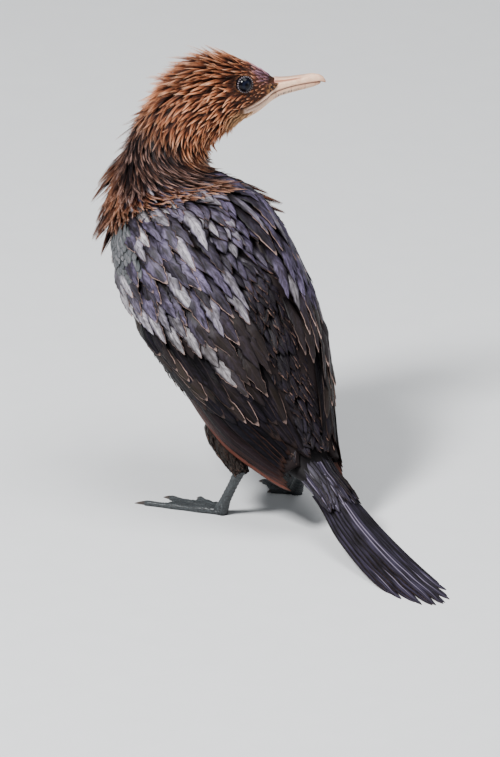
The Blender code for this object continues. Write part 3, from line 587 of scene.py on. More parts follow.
def make_piece(name, points, faces, finish, marks=None, uv=None, sharp=None, replaced=()):
    """An object from arrays: points in millimetres, and faces of three or four corners each."""
    mesh = bpy.data.meshes.new(name)
    points = np.asarray(points, float).reshape(-1, 3)
    mesh.vertices.add(len(points))
    mesh.vertices.foreach_set("co", (points * MM + SHIFT).astype(np.float32).ravel())
    corners = np.concatenate([part.ravel() for part in faces])
    lengths = np.concatenate([np.full(len(part), part.shape[1]) for part in faces])
    starts = np.concatenate([[0], np.cumsum(lengths)[:-1]])
    mesh.loops.add(len(corners))
    mesh.loops.foreach_set("vertex_index", corners.astype(np.int32))
    mesh.polygons.add(len(lengths))
    mesh.polygons.foreach_set("loop_start", starts.astype(np.int32))
    mesh.update(calc_edges=True)
    flat = np.zeros(len(lengths), bool) if sharp is None else sharp
    mesh.polygons.foreach_set("use_smooth", ~flat)
    for key, values in (marks or {}).items():
        values = np.broadcast_to(values, (len(points),)).astype(np.float32)
        mesh.attributes.new(key, "FLOAT", "POINT").data.foreach_set("value", values)
    if uv is not None:
        layer = mesh.uv_layers.new(name="OFBake")
        layer.data.foreach_set("uv", uv[corners].astype(np.float32).ravel())
    mesh.validate()
    made = bpy.data.objects.new(name, mesh)
    bpy.context.scene.collection.objects.link(made)
    mesh.materials.append(finish)
    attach(made, "root")
    if replaced:
        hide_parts(*replaced)
    return made


def sheet_faces(rows, columns, closed=False):
    """The faces of one grid of points, whose columns may run round."""
    r, c = np.meshgrid(np.arange(rows - 1), np.arange(columns - (not closed)), indexing="ij")
    after = (c + 1) % columns
    low, high = r * columns, (r + 1) * columns
    return np.stack([low + c, low + after, high + after, high + c], -1).reshape(-1, 4)


def blade_faces(count, stations, columns):
    """The faces of many closed blades: an upper and a lower grid, and the rim between them."""
    top = sheet_faces(stations, columns)
    step = stations * columns
    under = top[:, ::-1] + step
    s, c = np.arange(stations - 1), np.arange(columns - 1)
    left = s * columns
    right = s * columns + columns - 1
    last = (stations - 1) * columns + c
    rim = np.concatenate(
        [
            np.stack([left, left + columns, left + columns + step, left + step], -1),
            np.stack([right, right + step, right + columns + step, right + columns], -1),
            np.stack([c, c + step, c + 1 + step, c + 1], -1),
            np.stack([last, last + 1, last + 1 + step, last + step], -1),
        ]
    )
    one = np.concatenate([top, under, rim])
    flat = np.concatenate([np.zeros(2 * len(top), bool), np.ones(len(rim), bool)])
    shift = (np.arange(count) * 2 * step)[:, None, None]
    return (one + shift).reshape(-1, 4), np.tile(flat, count)


def route_frames(place_at, distances, angles, lifts, roll=0.0):
    """Places along routes on a surface, each with its side way and its normal.

    The arrays hold one route a row. The roll turns each blade about its own shaft.
    """
    places = place_at(distances, angles, lifts)
    outwards = place_at(distances, angles, lifts + 1.0) - places
    ahead = unit(np.gradient(places, axis=1))
    side = unit(np.cross(ahead, outwards))
    normal = unit(np.cross(side, ahead))
    turn = np.radians(np.asarray(roll, float)).reshape(-1, 1, 1)
    rolled = side * np.cos(turn) + normal * np.sin(turn)
    return places, rolled, normal * np.cos(turn) - side * np.sin(turn)


def blade_widths(share, widest, root, tip_power, tip=0.05):
    """A blade's half width along its length, from 0 to 1: pointed where the power is high."""
    early = root + (1.0 - root) * smooth(share / widest)
    late = np.clip((share - widest) / (1.0 - widest), 0.0, 1.0)
    return np.maximum(np.where(share < widest, early, (1.0 - late**2) ** tip_power), tip)


def on_points(marks, u, v, shape):
    """Marks and places on the baked map, spread over every point of many feathers."""
    held = {key: np.broadcast_to(values, shape).reshape(-1) for key, values in marks.items()}
    uv = np.stack([np.broadcast_to(u, shape), np.broadcast_to(v, shape)], -1)
    return held, uv.reshape(-1, 2)


def blades(name, frames, half_width, finish, draw, *, shape=(0.45, 0.55, 0.8), columns=5,
           camber=0.12, thickness=0.3, shaft=0.12, teeth=0.0, tooth=4.5, marks=None,
           patch=0.003, places=None, replaced=()):
    """Many feathers as closed thin blades, with a raised shaft and barbs parted into teeth.

    frames come from route_frames. places holds each root's place on the unwrapped skin.
    """
    middles, side, normal = frames
    count, stations = middles.shape[:2]
    share = np.linspace(0.0, 1.0, stations)
    across = np.linspace(-1.0, 1.0, columns)
    strides = np.linalg.norm(np.diff(middles, axis=1), axis=-1)
    reach = np.concatenate([np.zeros((count, 1)), np.cumsum(strides, axis=1)], axis=1)
    half_width = np.broadcast_to(np.asarray(half_width, float), (count,))[:, None, None]
    widths = half_width * blade_widths(share, *shape)[:, None]
    parted = smooth((share - 0.2) / 0.4)[:, None] * draw.uniform(0.5, 1.4, (count, 1, 2))
    saw = (reach[..., None] / tooth + draw.random((count, 1, 2))) % 1.0
    cuts = 1.0 - np.clip(teeth * (1.0 - saw) * parted, 0.0, 0.8)
    trim = np.where(across < 0, cuts[..., :1], cuts[..., 1:])
    trim = 1.0 + (trim - 1.0) * across**2
    out = across * widths * trim
    drop = camber * np.abs(out) * np.abs(across)
    ridge = shaft * np.exp(-((across / 0.16) ** 2)) * (1.0 - share)[:, None]
    base = middles[:, :, None] + side[:, :, None] * out[..., None]
    up = normal[:, :, None]
    top = base + up * (thickness / 2 + ridge - drop)[..., None]
    under = base - up * (thickness / 2 + drop)[..., None]
    points = np.stack([top, under], axis=1)
    faces, flat = blade_faces(count, stations, columns)
    held = {"along": share[:, None], "across": across, "reach": reach[:, None, :, None]}
    held["tint"] = draw.random(count).reshape(-1, 1, 1, 1)
    for key in ("lit", "violet", "olive"):
        held[key] = np.asarray((marks or {}).get(key, 0.0), float).reshape(-1, 1, 1, 1)
    wide, long = np.broadcast_to(patch, (2,))
    root_u, root_v = places.T.reshape(2, -1, 1, 1, 1)
    u = root_u + wide * (0.25 + 0.22 * across) + wide * 0.5 * np.arange(2)[:, None, None]
    v = root_v + long * share[:, None]
    held_all, uv = on_points(held, u, v, (count, 2, stations, columns))
    return make_piece(name, points, [faces], finish, held_all, uv, flat, replaced)


LOCK_STATIONS = 5
LOCK_TAPER = np.array((0.75, 1.0, 0.8, 0.45, 0.06))


def strands(name, routes, side, normal, widths, finish, marks, places, patch=0.003):
    """Many tapered locks with a three-cornered section."""
    count, stations = routes.shape[:2]
    share = np.linspace(0.0, 1.0, stations)
    half = (widths[:, None] * LOCK_TAPER[None, :] / 2)[..., None]
    ring = np.stack([routes - side * half, routes + side * half, routes + normal * half * 1.1], 2)
    points = ring.reshape(count, stations * 3, 3)
    wall = sheet_faces(stations, 3, closed=True)
    ends = np.array([(0, 2, 1), (stations * 3 - 3, stations * 3 - 2, stations * 3 - 1)])
    shift = (np.arange(count) * stations * 3)[:, None, None]
    faces = [(part + shift).reshape(-1, part.shape[1]) for part in (wall, ends)]
    held = {key: values[:, None, None] for key, values in marks.items()}
    held["along"] = share[:, None]
    root_u, root_v = places.T.reshape(2, -1, 1, 1)
    u = root_u + patch * np.array((0.0, 0.5, 1.0))
    held_all, uv = on_points(held, u, root_v + patch * share[:, None], (count, stations, 3))
    return make_piece(name, points, faces, finish, held_all, uv)


def unwrapped(distance, angle):
    """A place on the unwrapped skin, for the baked map."""
    turn = (np.asarray(angle, float) + 180.0) % 360.0
    return np.stack([0.01 + 0.97 * turn / 360.0, 0.01 + 0.97 * np.asarray(distance) / 360.0], -1)


# What marks the coat, by place on the body.
def turned_by(angle, middle):
    """How many degrees an angle lies from a middle one."""
    return np.abs((np.asarray(angle, float) - middle + 180.0) % 360.0 - 180.0)


def rufous_mark(distance):
    """1 on head and neck, fading into the mantle and breast."""
    return smooth((distance - 222.0) / 22.0)


def dusk_and_shade_mark(distance, angle):
    """Painted shade in the neck's low hollow and on the collar's right side; the dusky collar, a darker
    nape and the brown crown.
    """
    distance = np.asarray(distance, float)
    # Painted shade in the hollow low on the neck.
    hollow = smooth(1.5 - np.abs(distance - 254.0) / 22.0)
    hollow = hollow * smooth(1.9 - turned_by(angle, -14.0) / 58.0)
    signed = (np.asarray(angle, float) + 180.0) % 360.0 - 180.0
    # Painted shade: darker on the bird's right, away from the light.
    right = 0.3 * smooth((-30.0 - signed) / 30.0)
    collar = (0.70 + right) * smooth((249.0 - distance) / 16.0)
    crown = 0.30 * smooth((distance - 285.0) / 20.0) * smooth((60.0 - turned_by(angle, 0.0)) / 40.0)
    nape = 0.62 * smooth((285.0 - distance) / 24.0)
    return np.clip(np.maximum.reduce([hollow, collar, crown, nape]), 0.0, 1.0)


def near_head(points):
    """1 on the head, and 0 on the rest of the bird."""
    return smooth((64.0 - np.linalg.norm(points - HEAD_CENTRE, axis=-1)) / 8.0)


def pale_mark(points):
    """Yellowish-pale feathers along the chin and under the mouth."""
    forward, up, _ = in_head(points)
    under = smooth((-6.0 - up) / 7.0) * smooth((forward - 4.0) / 14.0)
    return under * near_head(points)


def violet_mark(points):
    """Violet-pink skin and feathers over the lores."""
    forward, up, _ = in_head(points)
    return smooth((forward - 26.0) / 8.0) * smooth((up - 6.0) / 5.0) * near_head(points)


SKIN_DEPTH = 1.6
FACE_DEPTH = 0.3


def face_mark(points):
    """1 on the bare skin round the eye and next to the bill."""
    forward, up, _ = in_head(points)
    near = np.minimum(
        np.linalg.norm(points - eye_middle(1), axis=-1),
        np.linalg.norm(points - eye_middle(-1), axis=-1),
    )
    ring = 1.0 - smooth((near - 6.1) / 0.9)
    lore = smooth((forward - 33.0) / 4.0) * smooth((8.0 - up) / 2.0)
    return np.maximum(ring, lore * near_head(points))


def mouth_height(forward):
    """The height of the mouth's line, from the gape to the bill."""
    stops = [GAPE[0], *BILL_STATIONS[1:, 0]]
    heights = [GAPE[1], *BILL_STATIONS[1:, 1]]
    return np.interp(forward, stops, heights)


def lips_mark(points):
    """The pale rims of the mouth, from the gape to the bill."""
    forward, up, _ = in_head(points)
    above = up - mouth_height(forward)
    grown = 0.55 + 0.45 * smooth((forward - GAPE[0]) / 12.0)
    edge = np.where(above > 0.0, 2.9 - above / grown, 4.6 + above / grown)
    return smooth((forward - GAPE[0] + 3.0) / 3.0) * smooth(edge) * near_head(points)


SKIN_AROUND = 160


def plain_marks(count, keys=SKIN_MARKS):
    """Marks that are 0 all over a piece."""
    return {key: np.zeros(count) for key in keys}


def mouth_groove(forward, up):
    """1 along the line where the mouth closes."""
    groove = np.exp(-(((up - mouth_height(forward)) / 0.55) ** 2))
    return groove * smooth((forward - GAPE[0] + 1.0) / 2.0)


def make_skin(finish):
    """One skin from the tail's root to the bill, under feathers and locks."""
    distances = np.concatenate(
        [np.arange(1.5, HEAD_START, 3.0), np.arange(HEAD_START, body.length, 0.8)]
    )
    angles = np.arange(SKIN_AROUND) * (360.0 / SKIN_AROUND) - 180.0
    distance, angle = np.meshgrid(distances, angles, indexing="ij")
    surface = body.point(distance, angle)
    bare = face_mark(surface)
    lips = lips_mark(surface)
    naked = np.maximum(bare, lips)
    depth = SKIN_DEPTH + (FACE_DEPTH - SKIN_DEPTH) * naked
    points = body.point(distance, angle, -depth)
    outwards = unit(body.point(distance, angle, 1.0) - surface)
    forward, up, _ = in_head(surface)
    groove = mouth_groove(forward, up)
    drawn_in = 1.1 * smooth((forward - 34.0) / 8.0)
    points = points + outwards * (0.5 * lips - 1.3 * groove - drawn_in)[..., None]
    for side in (1, -1):
        reach = np.linalg.norm(points - eye_middle(side), axis=-1)
        socket = smooth((EYE_RADIUS + 0.9 - reach) / 1.6)
        points = points - outwards * (3.0 * socket)[..., None]
    marks = {
        "rufous": rufous_mark(distance),
        "dark": dusk_and_shade_mark(distance, angle),
        "bare": naked,
        "lips": lips,
        "seam": groove,
        "violet": violet_mark(surface),
        "pale": pale_mark(surface),
    }
    marks = {key: values.reshape(-1) for key, values in marks.items()}
    uv = unwrapped(distance, angle).reshape(-1, 2)
    points, faces = merged([points])
    skin = make_piece(
        "skin", points, faces, finish, marks, uv, replaced=("torso", "neck", "head")
    )
    cut_flat(skin, at_head(*BILL_CUT) + BILL_CUT_WAY, BILL_CUT_WAY)
    return skin


CUT_REACH = 34.0


def cut_flat(piece, place, way):
    """Cuts a piece flat near a place, and drops what lies beyond."""
    work = bmesh.new()
    work.from_mesh(piece.data)
    middle = Vector(np.asarray(place) * MM + SHIFT)
    near = [vert for vert in work.verts if (vert.co - middle).length < CUT_REACH * MM]
    inside = set(near)
    parts = [part for part in (*work.edges, *work.faces) if inside.issuperset(part.verts)]
    cut = bmesh.ops.bisect_plane(
        work,
        geom=[*near, *parts],
        plane_co=middle,
        plane_no=Vector(way),
        clear_outer=True,
        dist=1e-7,
    )
    rim = [edge for edge in cut["geom_cut"] if isinstance(edge, bmesh.types.BMEdge)]
    bmesh.ops.contextual_create(work, geom=rim)
    work.to_mesh(piece.data)
    work.free()


def spread_roots(draw, start, end, first, last, spacing):
    """Places in staggered rows on the body, a little uneven, about so many millimetres apart."""
    distances, angles = [], []
    at = start
    row = 0
    while at < end:
        count = max(1, int(round((last - first) * float(body.girth(at)) / spacing)))
        turns = first + (last - first) * (np.arange(count) + 0.5 * (row % 2) + 0.25) / count
        step = (last - first) / count
        angles.append(turns + draw.uniform(-0.33, 0.33, count) * step)
        distances.append(at + draw.uniform(-0.35, 0.35, count) * spacing)
        at += spacing
        row += 1
    return np.concatenate(distances), np.concatenate(angles)


CLUMP_SPACING = 2.7
STRAND_SPACING = 1.05
LOCK_SINK = 1.8
LOCK_PULL = 0.86
STEEPEST_LOCK = 52.0


def lock_routes(distances, angles, lengths, rises, drifts, curl=0.3):
    """Routes that start under the skin, run towards the tail and stand off towards the tip."""
    share = np.linspace(0.0, 1.0, LOCK_STATIONS)[None, :]
    turn = np.radians(drifts)[:, None]
    lean = np.radians(rises)[:, None]
    reach = lengths[:, None] * share
    flat = reach * np.cos(lean)
    high = reach * np.sin(lean) * (1.0 - curl + curl * share) - LOCK_SINK
    along = distances[:, None] - flat * np.cos(turn)
    girth = np.maximum(body.girth(along), 0.12)
    round_by = angles[:, None] + flat * np.sin(turn) / girth
    return route_frames(body.point, along, round_by, high)


def hackle_lie(distances, angles, points):
    """Length and rise of the hackles by place on head and neck."""
    forward, up, _ = in_head(points)
    turn = turned_by(angles, 0.0)
    on_back = smooth((85.0 - turn) / 60.0)
    on_face = smooth((forward - 10.0) / 16.0)
    crown = on_back * smooth((distances - 280.0) / 20.0) * (1.0 - on_face)
    lore = smooth((forward - 22.0) / 6.0) * smooth((14.0 - up) / 5.0)
    length = 9.0 + 3.0 * on_back - (4.4 + 2.2 * on_back) * on_face - 1.8 * lore
    length = length + 1.5 * smooth((262.0 - distances) / 20.0)
    rise = 18.0 + 11.0 * on_back + 17.0 * crown - (6.0 + 13.0 * on_back) * on_face
    fluff = smooth((258.0 - distances) / 12.0) * smooth((distances - 222.0) / 8.0)
    fluff = fluff * smooth(1.7 - turned_by(angles, 62.0) / 40.0)
    return length + 6.0 * fluff, rise + 18.0 * fluff


def gathered(routes, clump_routes, power):
    """Routes drawn towards the tip of the clump that each belongs to."""
    share = np.linspace(0.0, 1.0, LOCK_STATIONS)[None, :, None]
    return routes + (clump_routes - routes) * LOCK_PULL * share**power


def hackle_clumps(draw, top):
    """The wet locks that the strands gather into: roots, routes, how far each drifts, and tint."""
    at, turn = spread_roots(draw, NECK_START - 4.0, top, -180.0, 180.0, CLUMP_SPACING)
    roots = body.point(at, turn)
    length, rise = hackle_lie(at, turn, roots)
    count = len(at)
    spiky = draw.random(count) < 0.16
    length = length * draw.uniform(0.75, 1.2, count) * np.where(spiky, 1.35, 1.0)
    rise = rise * draw.uniform(0.6, 1.5, count) * np.where(spiky, 1.6, 1.0)
    rise = np.minimum(rise, STEEPEST_LOCK)
    drift = draw.normal(0.0, 13.0, count)
    tint = draw.random(count)
    return roots, lock_routes(at, turn, length, rise, drift)[0], drift, tint


def nearest(places, points):
    """Which of the points lies nearest to each place."""
    tree = KDTree(len(points))
    for k, point in enumerate(points):
        tree.insert(point, k)
    tree.balance()
    return np.array([tree.find(place)[1] for place in places])


def make_hackles(finish):
    """The bristly coat of head and neck: fine strands that gather into wet, pointed locks."""
    draw = np.random.default_rng(5)
    top = body.length - 6.0
    clump_roots, clump_routes, drift, clump_tint = hackle_clumps(draw, top)
    at, turn = spread_roots(draw, NECK_START - 5.0, top + 3.0, -180.0, 180.0, STRAND_SPACING)
    roots = body.point(at, turn)
    keep = (face_mark(roots) < 0.5) & (lips_mark(roots) < 0.4) & (in_head(roots)[0] < 38.0)
    at, turn, roots = at[keep], turn[keep], roots[keep]
    owner = nearest(roots, clump_roots)
    own_length, own_rise = hackle_lie(at, turn, roots)
    number = len(at)
    own_length = own_length * draw.uniform(0.65, 1.15, number)
    own_rise = own_rise * draw.uniform(0.4, 1.2, number)
    routes, side, normal = lock_routes(at, turn, own_length, own_rise, drift[owner] * 0.6)
    routes = gathered(routes, clump_routes[owner], 0.75)
    widths = draw.uniform(0.34, 0.66, number) * (0.65 + 0.35 * (own_length / 9.0))
    marks = {
        "tint": np.clip(0.6 * clump_tint[owner] + 0.4 * draw.random(number), 0.0, 1.0),
        "dark": np.clip(dusk_and_shade_mark(at, turn) + draw.normal(0.0, 0.12, number), 0.0, 1.0),
        "pale": pale_mark(roots),
        "violet": violet_mark(roots),
    }
    places = unwrapped(at, turn)
    low, high = np.quantile(at, (0.33, 0.66))
    parts = (
        ("hackles_collar", at < low),
        ("hackles_neck", (at >= low) & (at < high)),
        ("hackles_head", at >= high),
    )
    for name, part in parts:
        part_marks = {key: values[part] for key, values in marks.items()}
        strands(
            name, routes[part], side[part], normal[part], widths[part], finish,
            part_marks, places[part],
        )


# The shaggy tufts low on the neck: distance, angle, length, rise and how far each drifts.
RUFFLE_TUFTS = (
    (250.0, 72.0, 21.0, 52.0, 2.0),
    (246.0, 90.0, 24.0, 50.0, 6.0),
    (236.0, 70.0, 18.0, 22.0, -6.0),
    (238.0, 92.0, 22.0, 42.0, 4.0),
    (234.0, 112.0, 25.0, 44.0, 6.0),
    (230.0, 98.0, 24.0, 44.0, -4.0),
    (231.0, 126.0, 23.0, 30.0, 8.0),
    (226.0, 84.0, 19.0, 24.0, -10.0),
    (225.0, 112.0, 23.0, 32.0, 2.0),
    (223.0, 138.0, 22.0, 28.0, 4.0),
    (228.0, 154.0, 22.0, 26.0, 0.0),
    (229.0, 174.0, 20.0, 24.0, 0.0),
    (226.0, -164.0, 20.0, 24.0, 0.0),
    (230.0, -142.0, 21.0, 26.0, -4.0),
    (226.0, -122.0, 19.0, 24.0, -4.0),
    (232.0, -104.0, 18.0, 22.0, 0.0),
    (224.0, -80.0, 27.0, 42.0, 4.0),
    (216.0, -68.0, 31.0, 40.0, 2.0),
    (208.0, -62.0, 29.0, 36.0, 0.0),
    (213.0, -50.0, 25.0, 30.0, -4.0),
    (200.0, -56.0, 26.0, 28.0, 0.0),
)
TUFT_STRANDS = 34
TUFT_SPREAD = 3.4


def make_ruffle(finish):
    """Dark wet tufts that stand off the lower neck, with pale points."""
    draw = np.random.default_rng(8)
    at, turn, length, rise, drift = np.array(RUFFLE_TUFTS).T
    clump_routes = lock_routes(at, turn, length, rise, drift, curl=0.1)[0]
    owner = np.repeat(np.arange(len(at)), TUFT_STRANDS)
    number = len(owner)
    away = draw.normal(0.0, TUFT_SPREAD, (number, 2))
    own_at = at[owner] + away[:, 0]
    own_turn = turn[owner] + away[:, 1] / body.girth(at[owner])
    own_length = length[owner] * draw.uniform(0.55, 1.05, number)
    own_rise = rise[owner] * draw.uniform(0.7, 1.1, number)
    routes, side, normal = lock_routes(own_at, own_turn, own_length, own_rise, drift[owner])
    routes = gathered(routes, clump_routes[owner], 0.9)
    marks = {
        "tint": draw.uniform(0.0, 0.55, number),
        "dark": draw.uniform(0.55, 1.0, number),
        **plain_marks(number, ("pale", "violet")),
    }
    widths = draw.uniform(0.6, 1.1, number)
    strands(
        "ruffle", routes, side, normal, widths, finish, marks,
        unwrapped(own_at, own_turn),
    )


def wing_outline(distance):
    """Upper and lower angle of the folded wing, and how far it stands off the trunk."""
    return [np.interp(distance, WING_OUTLINE[:, 0], column) for column in WING_OUTLINE[:, 1:].T]


def wing_lift(side, distance, angle):
    """How far the folded wing's surface stands off the trunk. The angle is without its sign."""
    upper, lower, stand = wing_outline(distance)
    across = np.clip((angle - upper) / (lower - upper), 0.0, 1.0)
    swell = np.sqrt(4.0 * across * (1.0 - across))
    hang = smooth((angle - 45.0) / 60.0) * smooth((105.0 - distance) / 60.0)
    return WING_EDGE + stand * swell + WING_DROOP[side] * hang


def make_wing_bed(label, side, finish):
    """The smooth dark bed of a folded wing, which its feathers cover."""
    rows, columns = 56, 26
    distance = np.linspace(WING_OUTLINE[-1, 0], WING_OUTLINE[0, 0], rows)[:, None]
    upper, lower, _ = wing_outline(distance)
    angle = upper + (lower - upper) * np.linspace(0.0, 1.0, columns)[None, :]
    distance = np.broadcast_to(distance, angle.shape)
    lift = wing_lift(side, distance, angle)
    over = body.point(distance, side * angle, lift - 0.8)
    under = body.point(distance, side * angle, np.maximum(-2.0, lift - WING_THICKNESS))
    points = np.stack([over, under])
    faces = blade_faces(1, rows, columns)[0]
    if side > 0:
        faces = faces[:, ::-1]
    uv = unwrapped(np.stack([distance, distance]), np.stack([side * angle] * 2)).reshape(-1, 2)
    marks = {"along": 0.3, **plain_marks(points.size // 3, PLUME_MARKS)}
    make_piece(
        f"wing_bed_{label}", points, [faces], finish, marks, uv,
        replaced=(f"wing_{label}",),
    )


def wing_feathers(label, side, name, tips, length, heading, half_width, height, finish, draw, *,
                  shape=(0.5, 0.6, 0.7), stations=12, columns=7, teeth=0.3, roll=6.0, uneven=1.0,
                  thickness=0.28, camber=0.14, marks=None):
    """Feathers of the wing from arrays: tips as rows of distance and angle, the rest one each."""
    number = len(tips)
    tip_at = tips[:, 0] + draw.normal(0.0, 1.2, number) * uneven
    tip_turn = tips[:, 1] + draw.normal(0.0, 1.0, number) * uneven
    long = length * (1.0 + draw.normal(0.0, 0.06, number) * uneven)
    turn = np.radians(heading + draw.normal(0.0, 4.0, number) * uneven)
    s = np.linspace(0.0, 1.0, stations)[None, :]
    back = long[:, None] * (1.0 - s)
    bend = 1.0 + 0.25 * draw.normal(0.0, 1.0, number)[:, None] * uneven * (1.0 - s)
    distances = tip_at[:, None] + back * np.cos(turn)[:, None]
    angles = tip_turn[:, None] + back * np.sin(turn)[:, None] * bend / body.girth(distances)
    rise = np.minimum(1.0, s * 1.9) ** 0.9
    tall = height + draw.uniform(-0.25, 0.45, number) * uneven
    loose = np.where(draw.random(number) < 0.22, 1.6, 0.4) * draw.random(number) * uneven
    lifts = wing_lift(side, distances, angles) - 1.6 + (tall[:, None] + 1.6) * rise
    lifts = lifts + loose[:, None] * smooth((s - 0.55) / 0.45)
    tilt = roll * draw.normal(0.8, 0.9, number) * side
    frames = route_frames(body.point, distances, side * angles, lifts, tilt)
    widths = half_width * (1.0 + draw.normal(0.0, 0.09, number))
    blades(
        f"{name}_{label}", frames, widths, finish, draw, shape=shape,
        columns=columns, camber=camber, thickness=thickness, teeth=teeth, marks=marks,
        places=unwrapped(distances[:, 0], side * angles[:, 0]),
    )


def on_line(count, *stops):
    """Places spread evenly on a line through stops of distance and angle, outermost first."""
    at = np.linspace(0.0, len(stops) - 1.0, count)
    return columns_at(at, np.arange(len(stops)), np.array(stops, float))


def between(count, first, last):
    """A value for each feather of a row, from the outermost to the innermost."""
    return np.linspace(first, last, count)


# Where the silver tips end: angle and distance.
SILVER_LINE = np.array(
    (
        (8.0, 58.0),
        (25.0, 62.0),
        (35.0, 60.0),
        (45.0, 62.0),
        (53.0, 71.0),
        (59.0, 80.0),
        (63.0, 100.0),
        (81.0, 126.0),
        (95.0, 145.0),
        (106.0, 158.0),
    )
)
FIELD_COLUMN = 8.2
FIELD_TOP = 208.0
PATCH_START = 166.0
PATCH_END = 206.0


def silver_line(turn):
    """The distance at which the silver tips end, by angle."""
    return np.interp(turn, SILVER_LINE[:, 0], SILVER_LINE[:, 1])


def field_tips():
    """Tips in staggered columns from the silver line up to the shoulder."""
    tips = []
    for k, turn in enumerate(np.arange(14.0, 107.0, FIELD_COLUMN)):
        step = float(np.interp(turn, (20.0, 50.0, 100.0), (19.0, 16.5, 13.0)))
        at = float(silver_line(turn)) + 0.5 * step * (k % 2) * (turn < 50.0)
        while at < FIELD_TOP - 6.0:
            tips.append((at, turn + (1.6 if len(tips) % 2 else -1.6)))
            at += step
    tips = np.array(tips)
    smooth_patch = (tips[:, 0] > 171.0) & (tips[:, 1] > 70.0)
    return tips[(tips[:, 1] > wing_outline(tips[:, 0])[0] + 4.0) & ~smooth_patch]


def make_flight_feathers(label, side, looks, draw):
    """Primaries, the outermost with a rufous tinge, and secondaries."""
    rust = np.array((1.0, 0.35, 0.12, 0.05, 0.0, 0.0, 0.0, 0.0, 0.0))
    wing_feathers(label, side, "primaries",
                  on_line(9, (4.0, 106.0), (10.0, 88.0), (17.0, 70.0), (22.0, 50.0)),
                  between(9, 112.0, 60.0), between(9, 2.0, 7.0), 4.9, 0.7, looks["primary"], draw,
                  shape=(0.5, 0.7, 0.5), stations=24, roll=3.0, teeth=0.1, uneven=0.4,
                  marks={"olive": rust, "violet": 0.03})
    wing_feathers(label, side, "secondaries",
                  on_line(13, (84.0, 98.0), (40.0, 60.0), (14.0, 20.0)),
                  between(13, 66.0, 80.0), between(13, 4.0, 6.0), 5.2, 1.3, looks["flight"], draw,
                  shape=(0.5, 0.7, 0.5), stations=18, roll=5.0, teeth=0.15, uneven=0.7,
                  marks={"violet": 0.06, "olive": 0.1})


def make_greater_coverts(label, side, look, draw):
    """Two rows of long coverts, some with an olive middle, over the flight feathers."""
    outer = on_line(
        14, (122.0, 104.0), (103.0, 92.0), (80.0, 84.0), (56.0, 76.0), (46.0, 52.0), (38.0, 30.0)
    )
    inner = outer[:-1] + np.array((13.0, 1.0))
    for name, tips, lengths, half_width, height, teeth, violet in (
        ("greater_coverts", outer, (34.0, 46.0), 4.5, 1.9, 0.2, 0.04),
        ("inner_greater_coverts", inner, (30.0, 40.0), 4.3, 2.1, 0.25, 0.05),
    ):
        count = len(tips)
        marks = {"olive": draw.uniform(0.0, 1.0, count) ** 2, "violet": violet}
        wing_feathers(label, side, name, tips, between(count, *lengths), between(count, 2.0, 6.0),
                      half_width, height, look, draw, shape=(0.5, 0.6, 0.55), stations=13,
                      teeth=teeth, marks=marks)


def make_lesser_coverts(label, side, look, draw):
    """The smooth grey-green patch of small feathers at the shoulder."""
    tips = []
    for row, at in enumerate(np.arange(PATCH_START, PATCH_END, 4.2)):
        tips += [(at, turn + 2.2 * (row % 2)) for turn in np.arange(68.0, 106.0, 4.6)]
    tips = np.array(tips)
    tips = tips[tips[:, 1] > np.interp(tips[:, 0], (PATCH_START, PATCH_END), (74.0, 66.0))]
    count = len(tips)
    marks = {"lit": draw.uniform(0.05, 0.3, count), "violet": 0.1}
    wing_feathers(label, side, "lesser_coverts", tips, np.full(count, 10.5), np.full(count, 3.0),
                  3.0, 2.0, look, draw, shape=(0.5, 0.7, 0.5), stations=7, columns=5, teeth=0.1,
                  roll=3.0, uneven=0.5, marks=marks)


def make_covert_field(label, side, look, draw):
    """The coverts and scapulars, with a slanting band of silver tips and a violet middle of painted
    sheen.
    """
    tips = field_tips()
    at, turn = tips.T
    number = len(tips)
    on_shoulder = smooth((at - 150.0) / 60.0)
    inner = smooth((58.0 - turn) / 24.0)
    length = (33.0 + 14.0 * inner) * (1.0 - 0.28 * on_shoulder)
    heading = 3.0 + 3.0 * inner - 5.0 * inner * on_shoulder
    band = smooth((turn - 47.0) / 8.0) * (1.0 - smooth((at - silver_line(turn) - 9.0) / 9.0))
    middle = smooth((turn - 8.0) / 14.0) * smooth((at - 92.0) / 16.0)
    chance = draw.random(number)
    lit = band * draw.uniform(0.45, 1.0, number)
    lit = np.maximum(lit, middle * np.where(chance < 0.28, draw.uniform(0.3, 0.8, number), 0.03))
    # Painted shade: the right wing, away from the light, gets half the silver.
    lit = np.where(side > 0, lit, 0.5 * lit)
    high = smooth((at - 70.0) / 60.0)
    # Painted sheen: how much violet sheen each feather gets.
    violet = (0.12 + 0.30 * high + 0.58 * middle) * draw.uniform(0.12, 1.0, number)
    marks = {"lit": lit, "violet": violet, "olive": 0.3 * (1.0 - middle)}
    wing_feathers(label, side, "coverts", tips, length, heading, 5.9, 2.5 + 1.9 * inner, look, draw,
                  shape=(0.42, 0.5, 0.85), stations=16, teeth=0.38, roll=10.0, marks=marks)


def make_wing(label, side, looks):
    """A folded wing: flight feathers, greater coverts, and a field of coverts and scapulars."""
    draw = np.random.default_rng(21 if side > 0 else 22)
    make_wing_bed(label, side, looks["flight"])
    make_flight_feathers(label, side, looks, draw)
    make_greater_coverts(label, side, looks["greater"], draw)
    make_lesser_coverts(label, side, looks["smooth_coverts"], draw)
    make_covert_field(label, side, looks["coverts"], draw)


BODY_FEATHER_SPACING = 5.0
BACK_ANGLE = 75.0


